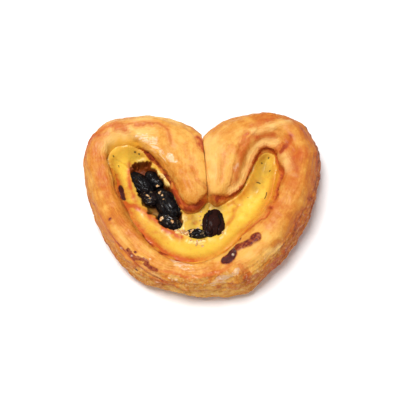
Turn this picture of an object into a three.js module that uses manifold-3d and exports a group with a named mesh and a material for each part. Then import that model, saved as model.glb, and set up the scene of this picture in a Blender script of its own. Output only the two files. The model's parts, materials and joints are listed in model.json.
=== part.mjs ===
// A heart-shaped danish pastry: a strip of laminated dough whose two ends turn in and meet at the middle,
// a custard filling in the hollow it makes, and seven raisins baked into the custard.
// Millimetres, +Z up, +Y towards the cleft of the heart. The pastry rests on z = 0.
import * as THREE from "three";
import { mergeVertices } from "three/addons/utils/BufferGeometryUtils.js";
import Module from "manifold-3d";

const wasm = await Module();
wasm.setup();

// ---- Driving dimensions ----
const BASE_THICKNESS = 4; // dough left under the custard
const CUSTARD_LEVEL = 15.5; // top of the custard away from the raisins
const CLEARANCE = 0.4; // gap between pieces that touch
const CLEFT_GAP = 0.5; // gap between the two arms where they press together
const CREST_SHARE = 0.45; // where the strip is highest, as a share of its width from the outside
const UNDERCUT = 0.5; // how far the inner wall stands back from the lip

const STEPS_PER_STATION = 3; // sections of the strip between one station and the next
const FLANK_STEPS = 3;
const OUTER_STEPS = 5;
const INNER_STEPS = 4;

// The strip, followed clockwise from the tip where its ends meet. Each station holds a point on its outer
// edge, a point on its inner lip, the height of its crest and lip, how high its widest point is (girth)
// and how far its foot draws in under that point (tuck).
const STATIONS = [
  { name: "tip", out: [2, 4], lip: [2.2, -1.5], crest: 19.5, lipZ: 16, girth: 12, tuck: 0 },
  { name: "left foot", out: [4, 6.5], lip: [-2.5, -3.5], crest: 24, lipZ: 16.5, girth: 16, tuck: 0 },
  { name: "left arm, low", out: [4.5, 11], lip: [-9, -3], crest: 27, lipZ: 17, girth: 21, tuck: 0 },
  { name: "left arm, middle", out: [4, 17], lip: [-14.5, 7], crest: 28, lipZ: 17.5, girth: 22.5, tuck: 0 },
  { name: "left arm, high", out: [3.5, 26.5], lip: [-19.5, 15], crest: 28.5, lipZ: 18, girth: 22, tuck: 1 },
  { name: "left shoulder", out: [-2.5, 35], lip: [-24, 20.5], crest: 28.5, lipZ: 18, girth: 14, tuck: 3 },
  { name: "left lobe, inner top", out: [-13, 40], lip: [-28, 23.5], crest: 28, lipZ: 18, girth: 10, tuck: 4 },
  { name: "left lobe, top", out: [-28.5, 42.5], lip: [-33, 25], crest: 27.5, lipZ: 18, girth: 9, tuck: 4 },
  { name: "left lobe, corner", out: [-44.5, 38], lip: [-39, 24], crest: 27, lipZ: 18, girth: 8.5, tuck: 4 },
  { name: "left lobe, side", out: [-52.5, 26.5], lip: [-42, 20], crest: 26.5, lipZ: 18, girth: 8, tuck: 4 },
  { name: "left side", out: [-53.5, 13.5], lip: [-40, 12], crest: 26, lipZ: 18, girth: 8, tuck: 4 },
  { name: "left side, low", out: [-50.5, 1], lip: [-36.5, 2.5], crest: 26, lipZ: 17.5, girth: 8, tuck: 4 },
  { name: "lower left", out: [-45.5, -12.5], lip: [-31.5, -8], crest: 25.5, lipZ: 17, girth: 7.5, tuck: 4 },
  { name: "bottom left", out: [-37, -25.5], lip: [-24.5, -17], crest: 25, lipZ: 17, girth: 7.5, tuck: 4 },
  { name: "bottom, left half", out: [-24.5, -35], lip: [-16, -24.3], crest: 25, lipZ: 17, girth: 7.5, tuck: 4 },
  { name: "bottom", out: [-9, -39.5], lip: [-6.5, -27.5], crest: 25, lipZ: 17, girth: 7.5, tuck: 4 },
  { name: "bottom, right half", out: [7, -40], lip: [2.5, -26.2], crest: 25.5, lipZ: 17, girth: 7.5, tuck: 4 },
  { name: "bottom corner", out: [20.5, -38], lip: [10.5, -20.8], crest: 26, lipZ: 17, girth: 7.5, tuck: 4 },
  { name: "lower right", out: [33, -26.5], lip: [17.2, -14.2], crest: 27, lipZ: 17, girth: 8, tuck: 4 },
  { name: "right side, low", out: [43, -12.5], lip: [24.5, -6.8], crest: 28, lipZ: 17.5, girth: 8, tuck: 4 },
  { name: "right side", out: [49, 1], lip: [29.5, 1.5], crest: 28.5, lipZ: 18, girth: 8.5, tuck: 4 },
  { name: "right side, high", out: [52.5, 14.5], lip: [32, 9.5], crest: 29, lipZ: 18, girth: 9, tuck: 4 },
  { name: "right lobe, side", out: [52.5, 26.5], lip: [33.5, 17], crest: 29.5, lipZ: 18, girth: 9, tuck: 4 },
  { name: "right lobe, corner", out: [45.5, 38], lip: [32, 22.5], crest: 30, lipZ: 18.5, girth: 9, tuck: 4 },
  { name: "right lobe, top", out: [31, 43.5], lip: [27.5, 23.5], crest: 30, lipZ: 18.5, girth: 10, tuck: 4 },
  { name: "right lobe, inner top", out: [17, 42], lip: [23.5, 20], crest: 30, lipZ: 18.5, girth: 10, tuck: 4 },
  { name: "right shoulder", out: [4.5, 36.5], lip: [20.5, 14], crest: 29.5, lipZ: 18, girth: 14, tuck: 3 },
  { name: "right arm, high", out: [-1.5, 27.5], lip: [18, 8], crest: 28.5, lipZ: 18, girth: 22, tuck: 1 },
  { name: "right arm, middle", out: [-0.5, 17], lip: [14.5, 3], crest: 27.5, lipZ: 17.5, girth: 22, tuck: 0 },
  { name: "right arm, low", out: [0, 11], lip: [10, -0.5], crest: 26, lipZ: 17, girth: 20, tuck: 0 },
  { name: "right foot", out: [1, 6.5], lip: [6, -1.5], crest: 24, lipZ: 16.5, girth: 16, tuck: 0 },
];

// The cleft between the arms, from the tip out to the notch of the heart, and the length it closes over.
const CLEFT = { low: [2, 1], high: [0.5, 34], closing: 3 };

// The hollow the raisins sit in: middle, half sizes and the turn of its long axis from +X.
const PIT = { middle: [-20.8, 3.4], half: [19.5, 8], floorZ: 11, turn: -55 };

// Each raisin: middle, half sizes, and its turn about +Z and tilt about its own long axis, in degrees.
const RAISINS = [
  { name: "raisin_upper_left", middle: [-27.9, 10.7, 14.2], half: [5.6, 3.1, 2.8], turn: -50, tilt: 10 },
  { name: "raisin_upper_right", middle: [-21.4, 12.4, 14.6], half: [4.3, 2.7, 2.5], turn: -47, tilt: -20 },
  { name: "raisin_centre", middle: [-23.8, 2.4, 13.8], half: [3.9, 3.1, 2.6], turn: -35, tilt: -12 },
  { name: "raisin_under_arm", middle: [-15.3, 0.9, 14.5], half: [5.5, 3.3, 3], turn: -57, tilt: 14 },
  { name: "raisin_lower", middle: [-14.6, -8.6, 14.4], half: [4.8, 2.9, 2.8], turn: -35, tilt: -8 },
  { name: "raisin_round", middle: [4.8, -9.4, 15.2], half: [6.2, 5, 3.4], turn: 95, tilt: 6 },
  { name: "raisin_small", middle: [-2.6, -14.8, 15.6], half: [4.5, 1.9, 1.8], turn: -8, tilt: 0 },
];
const RAISIN_WAIST = 0.08; // depth of a raisin's wrinkles, as a share of its size
const RAISIN_WRINKLES = 5;

const MATERIALS = {
  dough: new THREE.MeshStandardMaterial({ color: 0xe79c48, roughness: 0.55, metalness: 0 }),
  custard: new THREE.MeshStandardMaterial({ color: 0xf1c04f, roughness: 0.4, metalness: 0 }),
  raisin: new THREE.MeshStandardMaterial({ color: 0x1d1214, roughness: 0.35, metalness: 0 }),
};

// ---- Solids from meshes and back ----
function solidOf(geometry) {
  const bare = geometry.clone();
  bare.deleteAttribute("normal");
  bare.deleteAttribute("uv");
  const merged = mergeVertices(bare, 1e-4);
  return new wasm.Manifold(
    new wasm.Mesh({
      numProp: 3,
      vertProperties: new Float32Array(merged.attributes.position.array),
      triVerts: new Uint32Array(merged.index.array),
    }),
  );
}

function geometryOf(solid) {
  const mesh = solid.getMesh();
  const geometry = new THREE.BufferGeometry();
  geometry.setAttribute("position", new THREE.BufferAttribute(mesh.vertProperties, 3));
  geometry.setIndex(new THREE.BufferAttribute(mesh.triVerts, 1));
  geometry.computeVertexNormals();
  return geometry;
}

// ---- The strip of dough ----
const point2 = ([x, y]) => new THREE.Vector3(x, y, 0);
const outerEdge = new THREE.CatmullRomCurve3(STATIONS.map((s) => point2(s.out)), true, "catmullrom", 0.5);
const innerLip = new THREE.CatmullRomCurve3(STATIONS.map((s) => point2(s.lip)), true, "catmullrom", 0.5);
// Crest and lip heights travel together on one curve, girth and tuck on another.
const heights = new THREE.CatmullRomCurve3(
  STATIONS.map((s) => new THREE.Vector3(s.crest, s.lipZ, s.girth)), true, "catmullrom", 0.5);
const SECTIONS = STATIONS.length * STEPS_PER_STATION;

// How far the foot draws in, between stations.
function tuckAt(share) {
  const place = share * STATIONS.length;
  const before = Math.floor(place) % STATIONS.length;
  const after = (before + 1) % STATIONS.length;
  return THREE.MathUtils.lerp(STATIONS[before].tuck, STATIONS[after].tuck, place - Math.floor(place));
}

// The arms press flat against each other: nothing on one side crosses the cleft. The gap closes at the tip.
function pressed(x, y, share) {
  const [lowX, lowY] = CLEFT.low;
  const [highX, highY] = CLEFT.high;
  if (y < lowY) return x;
  const line = THREE.MathUtils.mapLinear(y, lowY, highY, lowX, highX);
  const half = (CLEFT_GAP / 2) * THREE.MathUtils.smoothstep(y, lowY, lowY + CLEFT.closing);
  return share < 0.5 ? Math.min(x, line - half) : Math.max(x, line + half);
}

// One section of the strip as [distance in from the outer edge, height], from the foot outwards, over the
// crest, down the inner wall and back along the base.
function sectionProfile(width, crest, lipZ, girth, tuck) {
  const profile = [];
  const rise = crest - girth;
  const crestAt = CREST_SHARE * width;
  for (let i = 0; i < FLANK_STEPS; i++) {
    const turn = (Math.PI / 2) * (1 - i / FLANK_STEPS);
    profile.push([tuck * (1 - Math.cos(turn)), girth * (1 - Math.sin(turn))]);
  }
  for (let i = 0; i < OUTER_STEPS; i++) {
    const turn = (Math.PI / 2) * (i / OUTER_STEPS);
    profile.push([crestAt * (1 - Math.cos(turn)), girth + rise * Math.sin(turn)]);
  }
  for (let i = 0; i <= INNER_STEPS; i++) {
    const turn = (Math.PI / 2) * (i / INNER_STEPS);
    profile.push([crestAt + (width - crestAt) * Math.sin(turn), lipZ + (crest - lipZ) * Math.cos(turn)]);
  }
  profile.push([width + UNDERCUT, BASE_THICKNESS]);
  profile.push([width + UNDERCUT, 0]);
  return profile;
}

function sectionAt(share) {
  const out = outerEdge.getPoint(share);
  const lip = innerLip.getPoint(share);
  const height = heights.getPoint(share);
  const inward = lip.clone().sub(out);
  const width = inward.length();
  inward.normalize();
  return sectionProfile(width, height.x, height.y, height.z, tuckAt(share)).map(([distance, z]) => {
    const at = out.clone().addScaledVector(inward, distance);
    return [pressed(at.x, at.y, share), at.y, z];
  });
}

function doughStrip() {
  const rings = Array.from({ length: SECTIONS }, (_, i) => sectionAt(i / SECTIONS));
  const around = rings[0].length;
  const positions = rings.flat(2);
  const index = [];
  for (let i = 0; i < SECTIONS; i++) {
    const next = (i + 1) % SECTIONS;
    for (let j = 0; j < around; j++) {
      const along = (j + 1) % around;
      const [a, b, c, d] = [i * around + j, next * around + j, next * around + along, i * around + along];
      index.push(a, b, c, a, c, d);
    }
  }
  const geometry = new THREE.BufferGeometry();
  geometry.setAttribute("position", new THREE.Float32BufferAttribute(positions, 3));
  geometry.setIndex(index);
  return geometry;
}

// The plan outline of the hollow, moved outwards from the lip by a distance along each section.
function hollowOutline(outwards) {
  const points = [];
  for (let i = 0; i < SECTIONS; i++) {
    const out = outerEdge.getPoint(i / SECTIONS);
    const lip = innerLip.getPoint(i / SECTIONS);
    const outward = out.clone().sub(lip).normalize();
    lip.addScaledVector(outward, outwards);
    points.push(new THREE.Vector2(lip.x, lip.y));
  }
  return points;
}

function slab(outwards, fromZ, toZ) {
  const shape = new THREE.Shape(hollowOutline(outwards));
  const geometry = new THREE.ExtrudeGeometry(shape, { depth: toZ - fromZ, bevelEnabled: false });
  return geometry.translate(0, 0, fromZ);
}

function doughSolid() {
  const base = solidOf(slab(1, 0, BASE_THICKNESS));
  return withoutRaisins(solidOf(doughStrip()).add(base));
}

// ---- Raisins ----
// A raisin along X: an ellipsoid whose girth dips in lengthwise wrinkles. Grow enlarges it for its pocket.
function raisinGeometry(half, grow) {
  const geometry = new THREE.SphereGeometry(1, 14, 9);
  const at = new THREE.Vector3();
  const size = new THREE.Vector3(...half).addScalar(grow);
  const position = geometry.attributes.position;
  for (let i = 0; i < position.count; i++) {
    at.fromBufferAttribute(position, i);
    const dip = 0.5 + 0.5 * Math.cos(RAISIN_WRINKLES * Math.atan2(at.z, at.y));
    const girth = 1 - RAISIN_WAIST * dip * Math.hypot(at.y, at.z);
    position.setXYZ(i, at.x * size.x, at.y * size.y * girth, at.z * size.z * girth);
  }
  return geometry;
}

const DEGREE = THREE.MathUtils.degToRad(1);

function placed(raisin, geometry, material) {
  const mesh = new THREE.Mesh(geometry, material);
  mesh.name = raisin.name;
  mesh.position.set(...raisin.middle);
  mesh.rotation.set(raisin.tilt * DEGREE, 0, raisin.turn * DEGREE, "ZYX");
  mesh.updateMatrixWorld();
  return mesh;
}

// Leaves a pocket with clearance all round each raisin.
function withoutRaisins(solid) {
  return RAISINS.reduce((rest, raisin) => {
    const mesh = placed(raisin, raisinGeometry(raisin.half, CLEARANCE), MATERIALS.raisin);
    return rest.subtract(solidOf(mesh.geometry.applyMatrix4(mesh.matrixWorld)));
  }, solid);
}

// ---- Custard ----
function pitSolid() {
  const [halfLength, halfWidth] = PIT.half;
  const bowl = new THREE.SphereGeometry(1, 32, 16);
  bowl.scale(halfLength, halfWidth, CUSTARD_LEVEL - PIT.floorZ);
  bowl.rotateZ(PIT.turn * DEGREE);
  bowl.translate(...PIT.middle, CUSTARD_LEVEL);
  return solidOf(bowl);
}

function custardSolid() {
  const filling = solidOf(slab(-(UNDERCUT + CLEARANCE), BASE_THICKNESS + CLEARANCE, CUSTARD_LEVEL));
  return withoutRaisins(filling.subtract(pitSolid()));
}

// ---- Assembly ----
function named(name, geometry, material) {
  const mesh = new THREE.Mesh(geometry, material);
  mesh.name = name;
  return mesh;
}

const pastry = new THREE.Group();
pastry.add(named("laminated_dough", geometryOf(doughSolid()), MATERIALS.dough));
pastry.add(named("custard_filling", geometryOf(custardSolid()), MATERIALS.custard));
for (const raisin of RAISINS) {
  pastry.add(placed(raisin, raisinGeometry(raisin.half, 0), MATERIALS.raisin));
}

// The origin is under the middle of the pastry.
const bounds = new THREE.Box3().setFromObject(pastry);
const middle = bounds.getCenter(new THREE.Vector3());
pastry.position.set(-middle.x, -middle.y, -bounds.min.z);
pastry.updateMatrixWorld(true);

export default pastry;
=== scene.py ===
import json
from itertools import product
from math import cos, radians, sin

import bmesh
import bpy
import numpy as np
from mathutils import Matrix, Vector

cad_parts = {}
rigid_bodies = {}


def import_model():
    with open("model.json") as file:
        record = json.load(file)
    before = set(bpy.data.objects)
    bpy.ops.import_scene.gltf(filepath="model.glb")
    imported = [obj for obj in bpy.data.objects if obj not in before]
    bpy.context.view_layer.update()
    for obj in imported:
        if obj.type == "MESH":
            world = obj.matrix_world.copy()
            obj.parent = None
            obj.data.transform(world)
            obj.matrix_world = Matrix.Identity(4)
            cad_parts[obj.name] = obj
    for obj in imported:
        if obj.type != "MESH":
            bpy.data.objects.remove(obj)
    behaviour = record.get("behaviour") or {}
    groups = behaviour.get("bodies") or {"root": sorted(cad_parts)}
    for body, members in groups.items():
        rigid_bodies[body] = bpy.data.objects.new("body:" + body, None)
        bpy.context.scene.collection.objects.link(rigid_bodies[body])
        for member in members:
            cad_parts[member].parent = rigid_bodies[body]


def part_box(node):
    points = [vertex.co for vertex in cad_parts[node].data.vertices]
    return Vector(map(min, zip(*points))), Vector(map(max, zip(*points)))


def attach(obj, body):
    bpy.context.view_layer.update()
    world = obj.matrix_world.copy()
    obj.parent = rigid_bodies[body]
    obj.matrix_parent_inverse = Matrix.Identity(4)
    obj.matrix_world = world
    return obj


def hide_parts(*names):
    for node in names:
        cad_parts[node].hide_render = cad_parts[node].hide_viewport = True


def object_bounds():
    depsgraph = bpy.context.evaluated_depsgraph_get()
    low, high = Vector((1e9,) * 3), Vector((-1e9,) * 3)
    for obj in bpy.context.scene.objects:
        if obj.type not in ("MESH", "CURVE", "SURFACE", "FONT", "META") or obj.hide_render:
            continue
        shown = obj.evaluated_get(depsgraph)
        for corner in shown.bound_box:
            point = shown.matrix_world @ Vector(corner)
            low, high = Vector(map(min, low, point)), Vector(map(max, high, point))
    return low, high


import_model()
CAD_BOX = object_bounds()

bl_info = {
    "name": "Danish Pastry",
    "version": (1, 0, 0),
    "blender": (4, 5, 0),
    "location": "3D View > Sidebar > Pastry",
    "description": "Builds a heart-shaped danish pastry with custard and raisins",
    "category": "Add Mesh",
}

MM = 0.001
DOUGH_NODE = "laminated_dough"
CUSTARD_NODE = "custard_filling"

# The strip of dough, followed anticlockwise from the tip where its two ends meet, in millimetres. Each
# station holds a point on the outer edge, a point on the inner lip, the height of the crest and of the lip,
# the height of the widest point (girth) and how far the foot draws in under it (tuck).
STATIONS = (
    ((2, 4), (2.2, 0.6), 18.5, 16, 12, 0),  # tip
    ((4, 6.5), (-2.5, -3.5), 23.5, 16.5, 16, 0),  # left foot
    ((4.5, 11), (-9, -3), 27, 17, 21, 0),  # left arm
    ((4, 17), (-14.5, 7), 28, 17.5, 22.5, 0),
    ((3.5, 26.5), (-19.5, 15), 28.5, 18, 22, 1),
    ((-2.5, 35), (-24, 20.5), 28.5, 18, 14, 3),  # left shoulder
    ((-13, 40), (-28, 23.5), 28, 18, 10, 4),  # left lobe
    ((-28.5, 42.5), (-33, 25), 27.5, 18, 9, 4),
    ((-44.5, 38), (-39, 24), 27, 18, 8.5, 4),
    ((-52.5, 26.5), (-42, 20), 26.5, 18, 8, 4),
    ((-53.5, 13.5), (-40, 12), 26, 18, 8, 4),  # left side
    ((-50.5, 1), (-36.5, 2.5), 26, 17.5, 8, 4),
    ((-45.5, -12.5), (-31.5, -8), 25.5, 17, 7.5, 4),
    ((-37, -25.5), (-24.5, -17), 25, 17, 8, 4),  # bottom
    ((-24.5, -35), (-16, -24.3), 25, 17, 9, 4),
    ((-9, -39.5), (-6.5, -27.5), 25, 17, 10, 4),
    ((7, -40), (2.5, -26.2), 25.5, 17, 10, 4),
    ((20.5, -38), (10.5, -20.8), 26, 17, 9.5, 4),  # bottom corner
    ((33, -26.5), (17.2, -14.2), 27, 17, 8, 4),
    ((43, -12.5), (24.5, -6.8), 28, 17.5, 8, 4),  # right side
    ((49, 1), (29.5, 1.5), 28.5, 18, 8.5, 4),
    ((52.5, 14.5), (31.6, 9.5), 29, 18, 9, 4),
    ((52.5, 26.5), (32.2, 16.6), 29.5, 18, 9, 4),  # right lobe
    ((45.5, 38), (31, 21.8), 30, 18.5, 9, 4),
    ((31, 43.5), (27.8, 22.8), 30, 18.5, 10, 4),
    ((17, 42), (24.6, 19.6), 30, 18.5, 10, 4),
    ((4.5, 36.5), (22, 13.5), 29.5, 18, 14, 3),  # right shoulder
    ((-1.5, 27.5), (19.3, 7.5), 28.5, 18, 22, 1),  # right arm
    ((-0.5, 17), (15.3, 2.6), 27.5, 17.5, 22, 0),
    ((0, 11), (10, -0.5), 26, 17, 20, 0),
    ((1, 6.5), (6, -1.5), 23.5, 16.5, 16, 0),  # right foot
)
CLEFT_LOW, CLEFT_HIGH = (2, 1), (-0.7, 34)  # the line the two arms are pressed together on
CLEFT_GAP = 0.08  # how wide that line stands open
CLEFT_OPENING = 3  # the length over which it opens from nothing
CREST_SHARE = 0.45  # where the strip is highest, as a share of its width from outside
BASE_LEVEL = 4  # top of the dough under the custard
UNDERCUT = 0.5  # how far the hidden wall runs in below the lip
PROUD = 0.4  # how far a blister may stand out past the pastry's own box
FAR = 1000  # more than any distance on the pastry
TINY = 1e-9  # keeps a division from being by nothing
ROWS_ALONG = 714  # points along the strip, and below them the points around each part of its section
ROWS_FOOT, ROWS_OUTER, ROWS_INNER, ROWS_HIDDEN = 20, 46, 42, 6
HIDDEN_REACH = 0.3  # how far across goes on past the lip, down the hidden wall
FINE_STEPS = 40  # steps between two stations when the strip's length is measured
PATH_STEPS = 8  # straight runs between two points of a path on the strip
PATH_MARGIN = 1  # stations past the ends of a path that it can still reach
NOISE_CELLS = 32  # cells after which the noise repeats
NOISE_GAIN = 1.6  # brings the noise out to about -1 to 1


def smoothstep(low, high, value):
    part = np.clip((value - low) / (high - low), 0, 1)
    return part * part * (3 - 2 * part)


def bell(distance, width):
    return np.exp(-((distance / width) ** 2))


def lattice_noise(points, size, seed):
    """Smooth noise of about -1 to 1 at each point, with bumps about size across."""
    table = np.random.default_rng(seed).uniform(-1, 1, (NOISE_CELLS,) * 3)
    place = np.asarray(points) / size
    cell = np.floor(place).astype(int)
    part = place - cell
    ease = part * part * (3 - 2 * part)
    total = np.zeros(place.shape[:-1])
    for corner in product((0, 1), repeat=3):
        index = (cell + corner) % NOISE_CELLS
        weight = np.prod(np.where(np.array(corner) == 1, ease, 1 - ease), axis=-1)
        total += weight * table[index[..., 0], index[..., 1], index[..., 2]]
    return NOISE_GAIN * total


def rough_noise(points, size, seed):
    """Noise with bumps of two sizes, the finer ones half as high."""
    return lattice_noise(points, size, seed) + lattice_noise(points, size / 2, seed + 90) / 2


# ---- The strip of dough ----
def closed_curve(points, stations):
    """Points on the smooth closed curve through points, at places counted in stations."""
    points = np.asarray(points, float)
    before = np.floor(stations).astype(int)
    part = (stations - before)[:, None]
    last, start, end, following = (points[(before + step) % len(points)] for step in (-1, 0, 1, 2))
    leave, arrive = (end - last) / 2, (following - start) / 2
    cubic = 2 * start - 2 * end + leave + arrive
    square = 3 * end - 3 * start - 2 * leave - arrive
    return cubic * part**3 + square * part**2 + leave * part + start


def strip_curves(stations):
    """The strip's outer edge, its lip and its four heights, at places counted in stations."""
    columns = ([row[0] for row in STATIONS], [row[1] for row in STATIONS], [row[2:] for row in STATIONS])
    return [closed_curve(column, stations) for column in columns]


def even_stations(count):
    """Places along the strip, evenly spaced on its middle line."""
    fine = np.linspace(0, len(STATIONS), FINE_STEPS * len(STATIONS) + 1)
    outer, lip, _ = strip_curves(fine)
    middle = (outer + lip) / 2
    length = np.concatenate([[0], np.cumsum(np.linalg.norm(np.diff(middle, axis=0), axis=1))])
    return np.interp(np.linspace(0, length[-1], count, endpoint=False), length, fine)


def pressed(points, stations):
    """Keeps each arm on its own side of the cleft."""
    x, y = points[..., 0], points[..., 1]
    climb = (y - CLEFT_LOW[1]) / (CLEFT_HIGH[1] - CLEFT_LOW[1])
    line = CLEFT_LOW[0] + climb * (CLEFT_HIGH[0] - CLEFT_LOW[0])
    half = CLEFT_GAP / 2 * smoothstep(CLEFT_LOW[1], CLEFT_LOW[1] + CLEFT_OPENING, y)
    left = (stations < len(STATIONS) / 2)[:, None]
    kept = np.where(left, np.minimum(x, line - half), np.maximum(x, line + half))
    points[..., 0] = np.where(y < CLEFT_LOW[1], x, kept)
    return points


class Strip:
    """The smooth strip before its folds. station counts along it and across counts around its section:
    -0.5 at the foot, 0 at the girth, 0.5 on the crest, 1 at the lip, and on down the hidden inner wall."""

    def __init__(self):
        self.station = even_stations(ROWS_ALONG)
        self.across = np.concatenate([
            np.linspace(-0.5, 0, ROWS_FOOT, endpoint=False),
            np.linspace(0, 0.5, ROWS_OUTER, endpoint=False),
            np.linspace(0.5, 1, ROWS_INNER),
            1 + np.linspace(0, HIDDEN_REACH, ROWS_HIDDEN + 1)[1:],
        ])
        self.outer, self.lip, heights = strip_curves(self.station)
        self.lip_height = heights[:, 1]
        self.points = self.section(heights)
        steps = np.linalg.norm(np.diff(self.points, axis=1), axis=2)
        self.arc = np.concatenate([np.zeros((ROWS_ALONG, 1)), np.cumsum(steps, axis=1)], axis=1)
        along = np.roll(self.points, -1, axis=0) - np.roll(self.points, 1, axis=0)
        around = np.gradient(self.points, axis=1)
        normal = np.cross(along, around)
        self.normal = normal / np.maximum(np.linalg.norm(normal, axis=2, keepdims=True), TINY)
        # the points a little out of place, so that a line measured from them wavers as a hand-made one does
        shifts = [0.5 * rough_noise(self.points, 5, 40 + axis) for axis in range(3)]
        self.wandering = self.points + np.stack(shifts, axis=2)

    def section(self, heights):
        """Points of the strip's section at every place along it."""
        width = np.linalg.norm(self.lip - self.outer, axis=1)[:, None]
        inward = (self.lip - self.outer) / width
        across = self.across[None, :]
        crest, lip_height, girth, tuck = heights.T[..., None]
        quarter = np.pi / 2
        foot = quarter * -2 * np.clip(across, -0.5, 0)
        rise = quarter * 2 * np.clip(across, 0, 0.5)
        fall = quarter * 2 * (np.clip(across, 0.5, 1) - 0.5)
        crest_in = CREST_SHARE * width
        distance = np.where(across < 0, tuck * (1 - np.cos(foot)), crest_in * (1 - np.cos(rise)))
        distance = np.where(across < 0.5, distance, crest_in + (width - crest_in) * np.sin(fall))
        height = np.where(across < 0, girth * (1 - np.sin(foot)), girth + (crest - girth) * np.sin(rise))
        height = np.where(across < 0.5, height, lip_height + (crest - lip_height) * np.cos(fall))
        hidden = np.clip((across - 1) / HIDDEN_REACH, 0, 1)
        distance = distance + UNDERCUT * np.sqrt(hidden)
        height = height + (BASE_LEVEL - lip_height) * hidden
        plan = self.outer[:, None, :] + inward[:, None, :] * distance[..., None]
        return pressed(np.concatenate([plan, height[..., None]], axis=2), self.station)

    def point_at(self, station, across):
        row = np.argmin(np.abs(self.station - station))
        return self.points[row, np.argmin(np.abs(self.across - across))]

    def distance_to(self, path):
        """Distance of every point from the line through a path of (station, across)."""
        corners = np.arange(len(path))
        steps = np.linspace(0, corners[-1], PATH_STEPS * corners[-1] + 1)
        stations, across = (np.interp(steps, corners, column) for column in zip(*path))
        line = [self.point_at(*place) for place in zip(stations, across)]
        near = self.station > stations.min() - PATH_MARGIN
        near &= self.station < stations.max() + PATH_MARGIN
        points = self.wandering[near]
        distance = np.full(self.arc.shape, FAR)
        for start, end in zip(line[:-1], line[1:]):
            run = end - start
            along = np.clip((points - start) @ run / max(run @ run, TINY), 0, 1)
            gap = np.linalg.norm(points - start - along[..., None] * run, axis=2)
            distance[near] = np.minimum(distance[near], gap)
        return distance

    def beside(self, path):
        """Millimetres from a path of (station, across) to every point, positive towards the lip, and
        how much the path counts there: 1 along it, fading to 0 past its ends."""
        stations, across = np.array(path, float).T
        line = np.interp(self.station, stations, across)
        row = np.interp(line, self.across, np.arange(len(self.across)))
        low = np.clip(np.floor(row).astype(int), 0, len(self.across) - 2)
        part = row - low
        each = np.arange(ROWS_ALONG)
        start = self.arc[each, low] * (1 - part) + self.arc[each, low + 1] * part
        fade = smoothstep(stations[0] - 0.5, stations[0] + 0.3, self.station)
        fade = fade * (1 - smoothstep(stations[-1] - 0.3, stations[-1] + 0.5, self.station))
        return self.arc - start[:, None], fade[:, None]


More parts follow.
